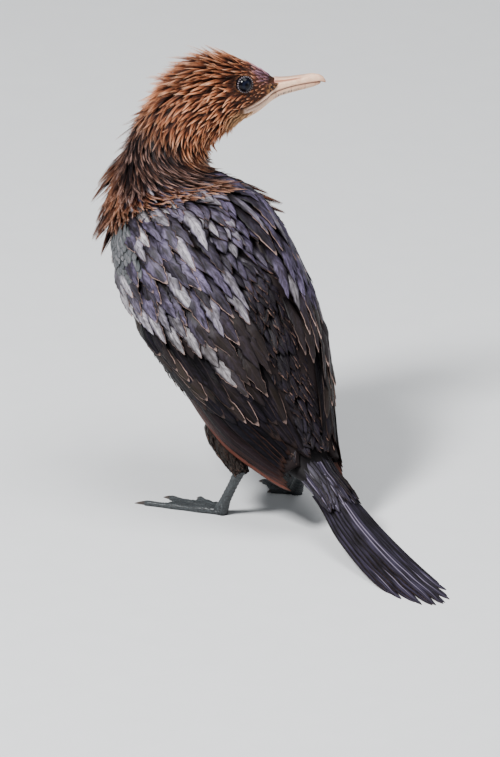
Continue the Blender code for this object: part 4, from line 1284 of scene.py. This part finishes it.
def make_body_feathers(look):
    """Overlapping feathers of mantle, rump, breast and belly, over the whole trunk."""
    draw = np.random.default_rng(33)
    at, turn = spread_roots(draw, 26.0, 240.0, -180.0, 180.0, BODY_FEATHER_SPACING)
    away = np.abs(turn)
    upper = wing_outline(at)[0]
    hidden = (away > upper + 14.0) & (away < 96.0) & (at > 34.0) & (at < 196.0)
    hidden |= (away < 85.0) & (at > 150.0) & (draw.random(len(at)) < 0.55)
    at, turn, away = at[~hidden], turn[~hidden], away[~hidden]
    number = len(at)
    on_back = smooth((80.0 - away) / 30.0)
    shoulder = smooth((at - 130.0) / 60.0)
    length = (11.0 + 12.0 * on_back) * draw.uniform(0.8, 1.2, number)
    length = np.minimum(length * (0.75 + 0.25 * smooth(at / 60.0)), at - 8.0)
    s = np.linspace(0.0, 1.0, 8)[None, :]
    swing = np.radians(draw.normal(0.0, 8.0, number))[:, None]
    distances = at[:, None] + 6.0 * on_back[:, None] - length[:, None] * s * np.cos(swing)
    distances = np.maximum(distances, 0.5)
    girth = np.maximum(body.girth(distances), 0.15)
    angles = turn[:, None] + length[:, None] * s * np.sin(swing) / girth
    tall = draw.uniform(0.5, 1.5, number)[:, None] + 1.6 * on_back[:, None]
    lifts = -2.2 + (tall + 2.2) * smooth(s * 1.1) ** 0.7
    tilt = draw.normal(0.0, 7.0, number)
    frames = route_frames(body.point, distances, angles, lifts, tilt)
    widths = (2.6 + 1.3 * on_back + 1.9 * on_back * shoulder) * draw.uniform(0.75, 1.25, number)
    widths = widths * (0.65 + 0.35 * smooth(at / 60.0))
    # Painted light: the silver is stronger on the bird's left, the side towards the light.
    left = smooth((turn + 12.0) / 24.0)
    chance = draw.random(number)
    lit = on_back * shoulder * (0.35 + 0.65 * left) * np.where(chance < 0.3, 0.6, 0.05)
    # The violet mark sets a painted violet sheen, strongest on the back and shoulders.
    marks = {
        "lit": np.clip(lit, 0.0, 1.0),
        "violet": on_back * (0.1 + 0.9 * shoulder) * draw.uniform(0.3, 1.0, number),
        "olive": (1.0 - on_back) * draw.uniform(0.2, 0.8, number),
    }
    places = unwrapped(at, turn)
    for name, part in (("back_feathers", away < BACK_ANGLE), ("belly_feathers", away >= BACK_ANGLE)):
        blades(
            name, [values[part] for values in frames], widths[part], look, draw,
            shape=(0.42, 0.55, 0.9), columns=5, camber=0.18, thickness=0.25, teeth=0.45,
            tooth=3.2, marks={key: values[part] for key, values in marks.items()},
            places=places[part],
        )


# Rows of tail coverts: where the row starts behind the tail's root, how many, and their length.
TAIL_COVERT_ROWS = ((-15.0, 9, 27.0), (-9.0, 8, 29.0), (-4.0, 7, 31.0))


def tail_covert(reach, turn, above, row):
    """The shaft of one tail covert, with its side way and its normal."""
    short_of_root = np.minimum(reach, 0.0)
    middle = tail_middle(np.maximum(reach, 0.0))
    middle = middle + np.stack([0 * reach, short_of_root, -0.6 * short_of_root], -1)
    fall, run = (4.4, 30.0) if above > 0 else (5.2, 26.0)
    over = 6.4 - fall * smooth(reach / run)
    over = over + 1.6 * smooth(-reach / 12.0) - 0.5 * row
    wide = 13.0 + 1.5 * smooth(-reach / 12.0) + 0.05 * reach
    high = above * over * np.cos(turn) + 1.0
    shaft = middle + np.stack([wide * np.sin(turn), 0 * reach, high], -1)
    shaft[:, 2] = np.maximum(shaft[:, 2], 1.5)
    ahead = unit(np.gradient(shaft, axis=0))
    side = unit(np.cross(ahead, np.array((math.sin(turn), 0.0, above * math.cos(turn)))))
    return shaft, side, np.cross(side, ahead)


def make_tail_coverts(look):
    """Short stiff feathers that lead from the rump over the tail's root, above and below."""
    draw = np.random.default_rng(61)
    coverts, widths = [], []
    share = np.linspace(0.0, 1.0, 12)
    for above in (1, -1):
        for row, (start, count, length) in enumerate(TAIL_COVERT_ROWS):
            for k in range(count):
                turn = math.radians((k - (count - 1) / 2) * 150.0 / count + draw.normal(0.0, 3.0))
                long = length * draw.uniform(0.85, 1.1) * (1.0 if above > 0 else 0.8)
                coverts.append(tail_covert(start + long * share, turn, above, row))
                widths.append(4.2 * draw.uniform(0.85, 1.1))
    count = len(coverts)
    places = np.stack([0.02 + 0.019 * np.arange(count), np.full(count, 0.02)], -1)
    blades(
        "tail_coverts", [np.stack(values) for values in zip(*coverts)], np.array(widths),
        look, draw, shape=(0.45, 0.6, 0.7), columns=7, camber=0.16,
        thickness=0.28, teeth=0.35, marks={"violet": draw.uniform(0.1, 0.6, count), "olive": 0.2},
        patch=(0.016, 0.3), places=places,
    )


def limb_ways(line):
    """Ways across and over a limb's line, at each of its points."""
    ahead = unit(np.gradient(line, axis=0))
    across = unit(np.cross(ahead, np.array((1.0, 0.0, 0.0))))
    return across, np.cross(across, ahead)


def spokes(across, over, around):
    """Ways from a ring's middle to its points."""
    turn = np.arange(around) * math.tau / around
    return across * np.cos(turn)[:, None] + over * np.sin(turn)[:, None]


def tube_points(line, radii, around):
    """Rings of points round a line."""
    across, over = limb_ways(line)
    ring = spokes(across[:, None], over[:, None], around)
    return line[:, None] + ring * np.asarray(radii)[:, None, None]


def smooth_line(stops, count, passes):
    """More points on a line through the stops, rounded at its bends."""
    stops = np.asarray(stops, float)
    line = columns_at(np.linspace(0.0, len(stops) - 1.0, count), np.arange(len(stops)), stops)
    for _ in range(passes):
        line[1:-1] = (line[:-2] + 2.0 * line[1:-1] + line[2:]) / 4.0
    return line


HEEL = np.array((29.0, -43.0, 35.0))
FOOT = np.array((31.0, -60.0, 4.5))
THIGH_TOP = np.array((23.0, -66.0, 72.0))
THIGH_RADII = (13.0, 15.0, 13.0, 8.0, 4.6)
THIGH_RINGS = 17
THIGH_AROUND = 28
THIGH_DEPTH = 1.2
THIGH_FEATHER_SPACING = 3.4
SHANK_RADII = (3.9, 3.1, 3.4, 4.4)
SHANK_RINGS = 40
SHANK_AROUND = 24
FOOT_SPLAY = 16.0
TOES = ((62.0, 17.0, 6.4), (51.0, -3.0, 6.0), (36.0, -25.0, 5.2), (22.0, -62.0, 4.2))
TOE_HEIGHT = 4.4
TOE_BACK = 3.0
SCUTE_LENGTH = 1.7
CLAW_RINGS = 10
CLAW_AROUND = 12
WEB_REACH = 0.82
WEB_SAG = 0.16
WEB_THICKNESS = 0.7


def mirrored(place, side):
    """A place of the left side, or the same place on the right."""
    return np.asarray(place, float) * np.array((side, 1.0, 1.0))


def thigh_line(side):
    """The thigh's middle line, from the trunk over the knee to the heel, and its radii."""
    top, heel = mirrored(THIGH_TOP, side), mirrored(HEEL, side)
    knee = (top + heel) / 2 + np.array((2.0 * side, -3.0, 0.0))
    end = heel + unit(heel - knee) * 2.0
    stops = [top, (top + knee) / 2, knee, knee + (end - knee) * 0.6, end]
    radii = smooth_line(np.array(THIGH_RADII)[:, None], THIGH_RINGS, 2)
    return smooth_line(stops, THIGH_RINGS, 2), radii[:, 0]


def thigh_roots(radii, draw):
    """Where the thigh's feathers grow: ring and angle."""
    roots = []
    for ring in np.arange(3.0, 15.6, 0.62):
        girth = 2 * math.pi * np.interp(ring, np.arange(THIGH_RINGS), radii)
        count = max(6, int(girth / THIGH_FEATHER_SPACING))
        turns = (np.arange(count) + 0.5 * draw.random()) * 360.0 / count
        roots.append(np.stack([np.full(count, ring), turns + draw.normal(0, 4, count)], -1))
    return np.concatenate(roots)


def make_thigh(label, side, skin_look, look):
    """The feathered thigh: a cone of skin under small dark feathers."""
    line, radii = thigh_line(side)
    points, faces = merged([tube_points(line, radii - THIGH_DEPTH, THIGH_AROUND)])
    u, v = np.arange(THIGH_AROUND) / THIGH_AROUND, np.arange(THIGH_RINGS) / THIGH_RINGS
    make_piece(
        f"thigh_skin_{label}", points, faces, skin_look, plain_marks(len(points)),
        np.stack(np.meshgrid(u, v), -1).reshape(-1, 2), replaced=(f"thigh_{label}",),
    )
    draw = np.random.default_rng(40 + side)
    roots = thigh_roots(radii, draw)
    rings = np.arange(THIGH_RINGS)
    across, over = limb_ways(line)

    def place_at(ring, turns, lifts):
        """A place so far above the thigh's surface, by ring and angle."""
        turn = np.radians(turns)[..., None]
        spoke = columns_at(ring, rings, across) * np.cos(turn)
        spoke = spoke + columns_at(ring, rings, over) * np.sin(turn)
        return columns_at(ring, rings, line) + spoke * (np.interp(ring, rings, radii) + lifts)[..., None]

    number = len(roots)
    share = np.linspace(0.0, 1.0, 5)[None, :]
    reach = draw.uniform(2.6, 4.0, number)[:, None]
    ring = np.minimum(roots[:, :1] + reach * share, THIGH_RINGS - 1.0)
    turns = roots[:, 1:] + draw.normal(0, 8, number)[:, None] * share
    lifts = -1.6 + (draw.uniform(0.3, 1.0, number)[:, None] + 1.6) * smooth(share * 1.1)
    frames = route_frames(place_at, ring, turns, lifts, draw.normal(0.0, 6.0, number))
    places = np.stack([(roots[:, 1] % 360.0) / 370.0, roots[:, 0] / 18.0], -1)
    blades(
        f"thigh_feathers_{label}", frames, 1.9, look, draw,
        shape=(0.45, 0.6, 0.8), columns=5, camber=0.15, thickness=0.22, teeth=0.3,
        marks={"olive": 0.3}, places=places,
    )


def toe_ways(side):
    """The way, length and width of each toe."""
    for length, turn, width in TOES:
        angle = math.radians(270.0 + side * (FOOT_SPLAY + turn))
        yield np.array((math.cos(angle), math.sin(angle), 0.0)), length, width


def toe_mesh(start, way, length, width):
    """A toe with swollen joints and a row of scutes along its top."""
    rings, around = 64, 20
    share = np.linspace(0.0, 0.9, rings)
    outer = np.interp(share, (0.0, 0.3, 0.6, 0.86, 0.9), (0.9, 0.9, 0.75, 0.6, 0.5))
    tall = np.interp(share, (0.0, 0.3, 0.6, 0.86, 0.9), (1.0, 0.85, 0.7, 0.6, 0.55))
    joints = 1.0 + 0.07 * np.cos(share * math.tau * 3.4)
    across = np.array((-way[1], way[0], 0.0))
    turn = np.arange(around) * math.tau / around
    scute = np.abs((share * length / SCUTE_LENGTH) % 1.0 - 0.5) * 2.0
    high = np.clip(np.sin(turn), 0.0, 1.0)[None, :] ** 0.7
    lift = TOE_HEIGHT * (tall * joints)[:, None] * high + 0.28 * (1.0 - scute[:, None] ** 4) * high
    aside = width / 2 * (outer * joints)[:, None] * np.sign(np.cos(turn))
    aside = aside * np.abs(np.cos(turn)) ** 0.8
    middle = start + way * (share * length)[:, None]
    return middle[:, None] + across * aside[..., None] + UP * lift[..., None]


def claw_mesh(start, way, length, width):
    """A curved claw that rests on the floor."""
    share = np.linspace(0.0, 1.0, CLAW_RINGS)
    reach = length * (0.87 + 0.15 * share)
    high = 2.6 * (1.0 - share**1.6) + 0.35
    wide = width * 0.22 * (1.0 - share) ** 0.7 + 0.15
    turn = np.arange(CLAW_AROUND) * math.tau / CLAW_AROUND
    across = np.array((-way[1], way[0], 0.0))
    middle = start + way * reach[:, None]
    up = high[:, None] * (0.5 + 0.5 * np.sin(turn))[None, :]
    aside = wide[:, None] * np.cos(turn)[None, :]
    return middle[:, None] + across * aside[..., None] + UP * up[..., None]


def merged(parts):
    """One set of points and faces out of several tubes with flat ends."""
    points, quads, caps, at = [], [], [], 0
    for part in parts:
        rows, around = part.shape[:2]
        points.append(part.reshape(-1, 3))
        quads.append(sheet_faces(rows, around, closed=True) + at)
        ends = np.stack([np.arange(around)[::-1], (rows - 1) * around + np.arange(around)]) + at
        caps.append(ends)
        at += rows * around
    return np.concatenate(points), [np.concatenate(quads), *caps]


def make_web(name, side, base, toe, next_toe, look):
    """The skin between two toes, hung a little between them and finely folded."""
    (way, length, _), (next_way, next_length, _) = toe, next_toe
    rows, columns = 22, 20
    across = np.linspace(0.0, 1.0, columns)[None, :]
    out = np.linspace(0.06, 1.0, rows)[:, None]
    ahead = unit(way * (1 - across[..., None]) + next_way * across[..., None])
    sag = 1.0 - WEB_SAG * np.sin(math.pi * across)
    reach = (length + (next_length - length) * across) * WEB_REACH * sag * out
    places = base + ahead * reach[..., None]
    fold = 0.35 * np.sin(across * 21.0 + out * 3.0) * out * np.sin(math.pi * across)
    level = 1.1 + 0.9 * (2 * across - 1) ** 2 * out + fold
    top = places + UP * level[..., None]
    under = places + UP * (level - WEB_THICKNESS)[..., None]
    faces = blade_faces(1, rows, columns)[0]
    if side < 0:
        faces = faces[:, ::-1]
    make_piece(name, np.stack([top, under]), [faces], look)


def make_foot(label, side, skin_look, claw_look):
    """Shank, four toes with their claws, and the webs that join all four."""
    base = mirrored((FOOT[0], FOOT[1], 0.0), side)
    heel, ankle = mirrored(HEEL, side), mirrored(FOOT, side)
    toes = list(toe_ways(side))
    top = heel - unit(ankle - heel) * 1.5
    shank = [heel + (ankle - heel) * part for part in (0.35, 0.8)]
    line = smooth_line([top, *shank, ankle - UP * 1.5], SHANK_RINGS, 6)
    radii = smooth_line(np.array(SHANK_RADII)[:, None], SHANK_RINGS, 6)[:, 0]
    ripple = 1.0 + 0.05 * np.cos(np.arange(SHANK_RINGS) * 2.1)
    parts = [tube_points(line, radii * ripple, SHANK_AROUND)]
    parts += [toe_mesh(base - toe[0] * TOE_BACK, *toe) for toe in toes]
    points, faces = merged(parts)
    make_piece(
        f"foot_skin_{label}", points, faces, skin_look, replaced=(f"foot_{label}",)
    )
    points, faces = merged([claw_mesh(base - toe[0] * TOE_BACK, *toe) for toe in toes])
    along = np.tile(np.repeat(np.linspace(0, 1, CLAW_RINGS), CLAW_AROUND), len(toes))
    make_piece(f"claws_{label}", points, faces, claw_look, {"along": along})
    for k, (toe, next_toe) in enumerate(zip(toes, toes[1:])):
        make_web(f"web_{label}_{k + 1}", side, base, toe, next_toe, skin_look)


# The tail, as in the solids.
TAIL_PAIRS = 6
TAIL_LENGTH = 150.0
TAIL_STEP = 1.3
TAIL_FLOOR = 118.0
TAIL_SWING = 9.0
TAIL_HALF_WIDTH = 4.7
TAIL_LAYER = 1.0
TAIL_ROOT_SPACING = 1.7
TAIL_TIP_SPACING = 3.9
TAIL_PAIRING = 0.95
TAIL_ROOT = np.array((0.0, 10.3, 30.5))


def tail_length(layer):
    """The length of one pair of tail feathers, the longest on top."""
    return TAIL_LENGTH - TAIL_STEP * layer * layer


def tail_place(reach, side, layer):
    """A point on a tail feather's shaft: how far back, which side, and which layer."""
    height = TAIL_ROOT[2] * (1.0 - np.minimum(reach / TAIL_FLOOR, 1.0)) ** 1.55
    for under in range(layer + 1, TAIL_PAIRS):
        height = height + TAIL_LAYER * smooth((tail_length(under) - reach) / 14.0)
    spread = TAIL_ROOT_SPACING + (TAIL_TIP_SPACING - TAIL_ROOT_SPACING) * reach / TAIL_LENGTH
    pairing = TAIL_PAIRING * (1 - 2 * (layer % 2)) * (reach / TAIL_LENGTH) ** 2
    aside = side * (spread * (layer + 0.45) + pairing)
    turn = math.radians(TAIL_SWING) * smooth(reach / 60.0 + 0.25)
    x = aside * np.cos(turn) + reach * np.sin(turn)
    y = TAIL_ROOT[1] + reach * np.cos(turn) - aside * np.sin(turn)
    return np.stack([x, y, height], -1)


def tail_middle(reach):
    """The middle of the tail's root, between the feathers of its third pair."""
    return (tail_place(reach, 1, 2) + tail_place(reach, -1, 2)) / 2


def make_tail_root(look):
    """The fleshy root that the tail feathers grow from."""
    rings, around = 14, 32
    turn = np.arange(around) * math.tau / around
    root = []
    for part in np.linspace(-0.2, 1.0, rings):
        half = 11.0 - 2.5 * part
        over, under = 4.2 - 3.4 * part, 4.8 - 3.6 * part
        high = np.where(np.sin(turn) > 0, over, under) * np.sin(turn) + 1.0
        ring = np.stack([half * np.cos(turn), 0 * turn, high], -1)
        root.append(tail_middle(16.0 * part) + ring)
    points, faces = merged([np.stack(root)])
    make_piece("tail_root", points, faces, look, plain_marks(len(points)))


def make_tail(look, skin_look):
    """Twelve stiff feathers that fan from a fleshy root down to the floor."""
    draw = np.random.default_rng(51)
    share = np.linspace(0.0, 1.0, 34)
    lines = []
    for layer in range(TAIL_PAIRS):
        reach = 3.0 + (tail_length(layer) - 3.0) * share
        lines += [tail_place(reach, side, layer) + UP * 0.3 for side in (1, -1)]
    middles = np.stack(lines)
    ahead = unit(np.gradient(middles, axis=1))
    sides = unit(np.cross(ahead, UP))
    count = len(lines)
    places = np.stack([0.04 + 0.078 * np.arange(count), np.full(count, 0.02)], -1)
    blades(
        "tail_feathers", (middles, sides, np.cross(sides, ahead)), TAIL_HALF_WIDTH * 0.92, look,
        draw, shape=(0.40, 0.8, 0.5), columns=11, camber=0.10, thickness=0.4,
        shaft=0.6, teeth=0.02, marks={"violet": 0.5}, patch=(0.07, 0.9), places=places,
        replaced=("tail",),
    )
    make_tail_root(skin_look)


BILL_RINGS = 90
BILL_ARCH_POINTS = 41
MOUTH_POINTS = 7


def bill_rings(stations, sign):
    """Rings of one half of the bill, flat along the mouth, with where its marks lie."""
    rows = smooth_line(stations, BILL_RINGS, 5)
    forward, mouth, half_width, tall = (rows[:, k : k + 1] for k in range(4))
    arch = np.linspace(0.0, math.pi, BILL_ARCH_POINTS)
    across = -half_width * np.cos(arch)[None, :]
    height = tall * np.sin(arch)[None, :] ** 0.8
    if sign > 0:
        groove = np.exp(-(((np.abs(np.cos(arch)) - 0.72) / 0.10) ** 2))[None, :]
        runs = smooth((forward - 37.0) / 4.0) * smooth((66.0 - forward) / 5.0)
        across = across * (1.0 - 0.13 * groove * runs)
    flat_across = half_width * np.linspace(1.0, -1.0, MOUTH_POINTS + 2)[None, 1:-1]
    across = np.concatenate([across, flat_across], 1)
    height = np.concatenate([height, np.zeros_like(flat_across)], 1)
    up = mouth + sign * (0.12 + height)
    points = at_head(np.broadcast_to(forward, up.shape), up, across)
    along = (forward - forward[0]) / (forward[-1] - forward[0])
    ridge = np.concatenate([np.sin(arch), np.zeros(MOUTH_POINTS)])[None, :]
    seam = np.exp(-((height / 0.42) ** 2))
    return points, np.broadcast_to(along, up.shape), np.broadcast_to(ridge, up.shape), seam


def make_bill(look):
    """The bill's two halves: a hooked upper one with its nostril grooves, and a lower one."""
    upper = [(f, m, w, high) for f, m, w, high, _ in BILL_STATIONS] + list(HOOK)
    lower = [(f, m, w, deep) for f, m, w, _, deep in BILL_STATIONS[:-1]] + list(LOWER_TIP)
    for name, stations, sign in (("bill_upper", upper, 1), ("bill_lower", lower, -1)):
        points, along, ridge, seam = bill_rings(stations, sign)
        points, faces = merged([points])
        ridge_of, plain = ("ridge", "under") if sign > 0 else ("under", "ridge")
        marks = {"along": along, ridge_of: ridge, plain: np.zeros_like(ridge), "seam": seam}
        marks = {key: values.reshape(-1) for key, values in marks.items()}
        half = make_piece(f"{name}_horn", points, faces, look, marks, replaced=(name,))
        cut_flat(half, at_head(*BILL_CUT) - BILL_CUT_WAY * 2.0, -BILL_CUT_WAY)
        turn_outwards(half)


def turn_outwards(piece):
    """Turns a closed piece's faces so that they look outwards."""
    work = bmesh.new()
    work.from_mesh(piece.data)
    bmesh.ops.recalc_face_normals(work, faces=work.faces)
    work.to_mesh(piece.data)
    work.free()


LID_BEADS = 22
LID_AROUND = 168
LID_SECTION = 14
LID_RADIUS = 5.15
LID_FORWARD = 2.5


def eye_ways(side):
    """The way that an eye looks, and the ways across and over it."""
    outwards = unit(FACE_LEFT * side + UP * 0.12 + FACING * 0.25)
    across = unit(np.cross(outwards, UP))
    return outwards, across, np.cross(across, outwards)


def make_eyeball(label, side, look):
    """The eye as a ball that bulges a little at its middle."""
    outwards, across, over = eye_ways(side)
    rows, around = 40, 56
    polar = np.linspace(0.02, math.pi - 0.02, rows)
    reach = EYE_RADIUS * (1.0 + 0.03 * np.exp(-((polar / 0.55) ** 2)))
    points = (
        eye_middle(side)
        + outwards * (reach * np.cos(polar))[:, None, None]
        + spokes(across, over, around)[None] * (reach * np.sin(polar))[:, None, None]
    )
    points, faces = merged([points])
    marks = {"along": np.repeat(np.cos(polar), around)}
    return make_piece(
        f"eyeball_{label}", points, faces, look, marks, replaced=(f"eye_{label}",)
    )


def make_eyelid(label, side, look):
    """The beaded ring of lid round an eye."""
    outwards, across, over = eye_ways(side)
    spoke = spokes(across, over, LID_AROUND)
    turn = np.arange(LID_AROUND) * math.tau / LID_AROUND
    tilt = np.arange(LID_SECTION) * math.tau / LID_SECTION
    bead = np.clip(np.cos(turn * LID_BEADS), 0.0, 1.0) ** 1.6
    thick = (0.30 + 0.26 * bead)[:, None]
    ring_out = LID_RADIUS + thick * np.cos(tilt)[None, :]
    ring_up = thick * np.sin(tilt)[None, :]
    middle = eye_middle(side) + outwards * LID_FORWARD
    points = middle + spoke[:, None] * ring_out[..., None] + outwards * ring_up[..., None]
    faces = sheet_faces(LID_AROUND + 1, LID_SECTION, closed=True) % (LID_AROUND * LID_SECTION)
    marks = {"along": np.repeat(bead, LID_SECTION)}
    return make_piece(f"eyelid_{label}", points, [faces], look, marks)


def make_eyes(eye_look, lid_look):
    """Each eye as a ball with its iris, and a beaded ring of lid round it."""
    for label, side in (("left", 1), ("right", -1)):
        turn_outwards(make_eyeball(label, side, eye_look))
        turn_outwards(make_eyelid(label, side, lid_look))


def make_floor():
    """A plain pale floor."""
    look = Finish("floor")
    grain = look.noise(look.place(), 40.0, 3.0)
    colour = look.mix(grain, (0.66, 0.67, 0.68), (0.70, 0.71, 0.72))
    look.surface(Base_Color=colour, Roughness=0.75)
    work = bmesh.new()
    bmesh.ops.create_grid(work, x_segments=8, y_segments=8, size=4.0)
    mesh = bpy.data.meshes.new("floor")
    work.to_mesh(mesh)
    work.free()
    mesh.materials.append(look.material)
    floor = bpy.data.objects.new("floor", mesh)
    bpy.context.scene.collection.objects.link(floor)


# The camera stands where the photo was taken from: behind the bird, on its left, and above it.
CAMERA_AZIMUTH = 142.0
CAMERA_HEIGHT = 20.0
CAMERA_DISTANCE = 12.0
IMAGE_WIDTH = 500
IMAGE_HEIGHT = 757
PIXEL = 0.00065  # metres of the bird for each pixel
TAIL_ROOT_PIXEL = (316.0, 480.0)
SENSOR = 36.0


def make_camera():
    """The photo's view, with the tail's root where the photo has it."""
    azimuth, height = math.radians(CAMERA_AZIMUTH), math.radians(CAMERA_HEIGHT)
    back = Vector(
        (
            math.sin(azimuth) * math.cos(height),
            -math.cos(azimuth) * math.cos(height),
            math.sin(height),
        )
    )
    right = Vector((0.0, 0.0, 1.0)).cross(back).normalized()
    up = back.cross(right)
    root = Vector(AXIS_START * MM + SHIFT)
    x, y = TAIL_ROOT_PIXEL
    aim = root + right * ((IMAGE_WIDTH / 2 - x) * PIXEL) + up * ((y - IMAGE_HEIGHT / 2) * PIXEL)
    data = bpy.data.cameras.new("camera")
    data.sensor_width = SENSOR
    data.lens = SENSOR * CAMERA_DISTANCE / (IMAGE_HEIGHT * PIXEL)
    camera = bpy.data.objects.new("camera", data)
    camera.location = aim + back * CAMERA_DISTANCE
    camera.rotation_euler = (-back).to_track_quat("-Z", "Y").to_euler()
    bpy.context.scene.collection.objects.link(camera)
    bpy.context.scene.camera = camera


def make_lights():
    """Soft studio light: a large key from the camera's left, a top light and a weak fill."""
    world = bpy.data.worlds.new("studio")
    world.use_nodes = True
    sky = world.node_tree.nodes["Background"]
    sky.inputs["Color"].default_value = (0.80, 0.86, 0.92, 1.0)
    sky.inputs["Strength"].default_value = 0.24
    bpy.context.scene.world = world
    middle = Vector((0.0, -0.04, 0.15))
    for name, place, size, power in (
        ("key", (2.0, 0.2, 2.5), 0.7, 185.0),
        ("top", (-0.2, 0.3, 2.6), 1.6, 54.0),
        ("fill", (-1.6, 2.2, 1.0), 1.5, 16.0),
    ):
        data = bpy.data.lights.new(name, "AREA")
        data.size = size
        data.energy = power
        light = bpy.data.objects.new(name, data)
        light.location = place
        light.rotation_euler = (middle - Vector(place)).to_track_quat("-Z", "Y").to_euler()
        bpy.context.scene.collection.objects.link(light)


def plume_looks():
    """The finishes of the different kinds of feathers."""
    return {
        "flight": make_plume_finish("flight_feathers", (0.06, 0.036, 0.028), base=JET, shine=0.04),
        "primary": make_plume_finish(
            "primary_feathers", (0.050, 0.024, 0.017), base=JET, middle=(0.12, 0.034, 0.020), shine=0.05
        ),
        "greater": make_plume_finish("greater_coverts", base=JET, shine=0.05),
        "coverts": make_plume_finish("covert_feathers"),
        "smooth_coverts": make_plume_finish("lesser_coverts", (0.03, 0.028, 0.026), 0.42, GREEN_GREY),
        "contour": make_plume_finish("contour_feathers", (0.34, 0.20, 0.155), frayed=0.8),
        "tail": make_tail_finish(),
    }


def make_bird():
    """The whole bird: coat, tail, bill and eyes, and then each side's wing and leg."""
    hackles = make_hackle_finish()
    skin = make_skin_finish()
    looks = plume_looks()
    make_skin(skin)
    make_hackles(hackles)
    make_ruffle(hackles)
    make_body_feathers(looks["contour"])
    make_tail(looks["tail"], skin)
    make_tail_coverts(looks["tail"])
    make_bill(make_horn_finish())
    make_eyes(make_eye_finish(), make_lid_finish())
    foot_look, claw_look = make_foot_finish(), make_claw_finish()
    for label, side in (("left", 1), ("right", -1)):
        make_wing(label, side, looks)
        make_thigh(label, side, skin, looks["contour"])
        make_foot(label, side, foot_look, claw_look)


make_camera()
make_lights()
make_floor()
make_bird()
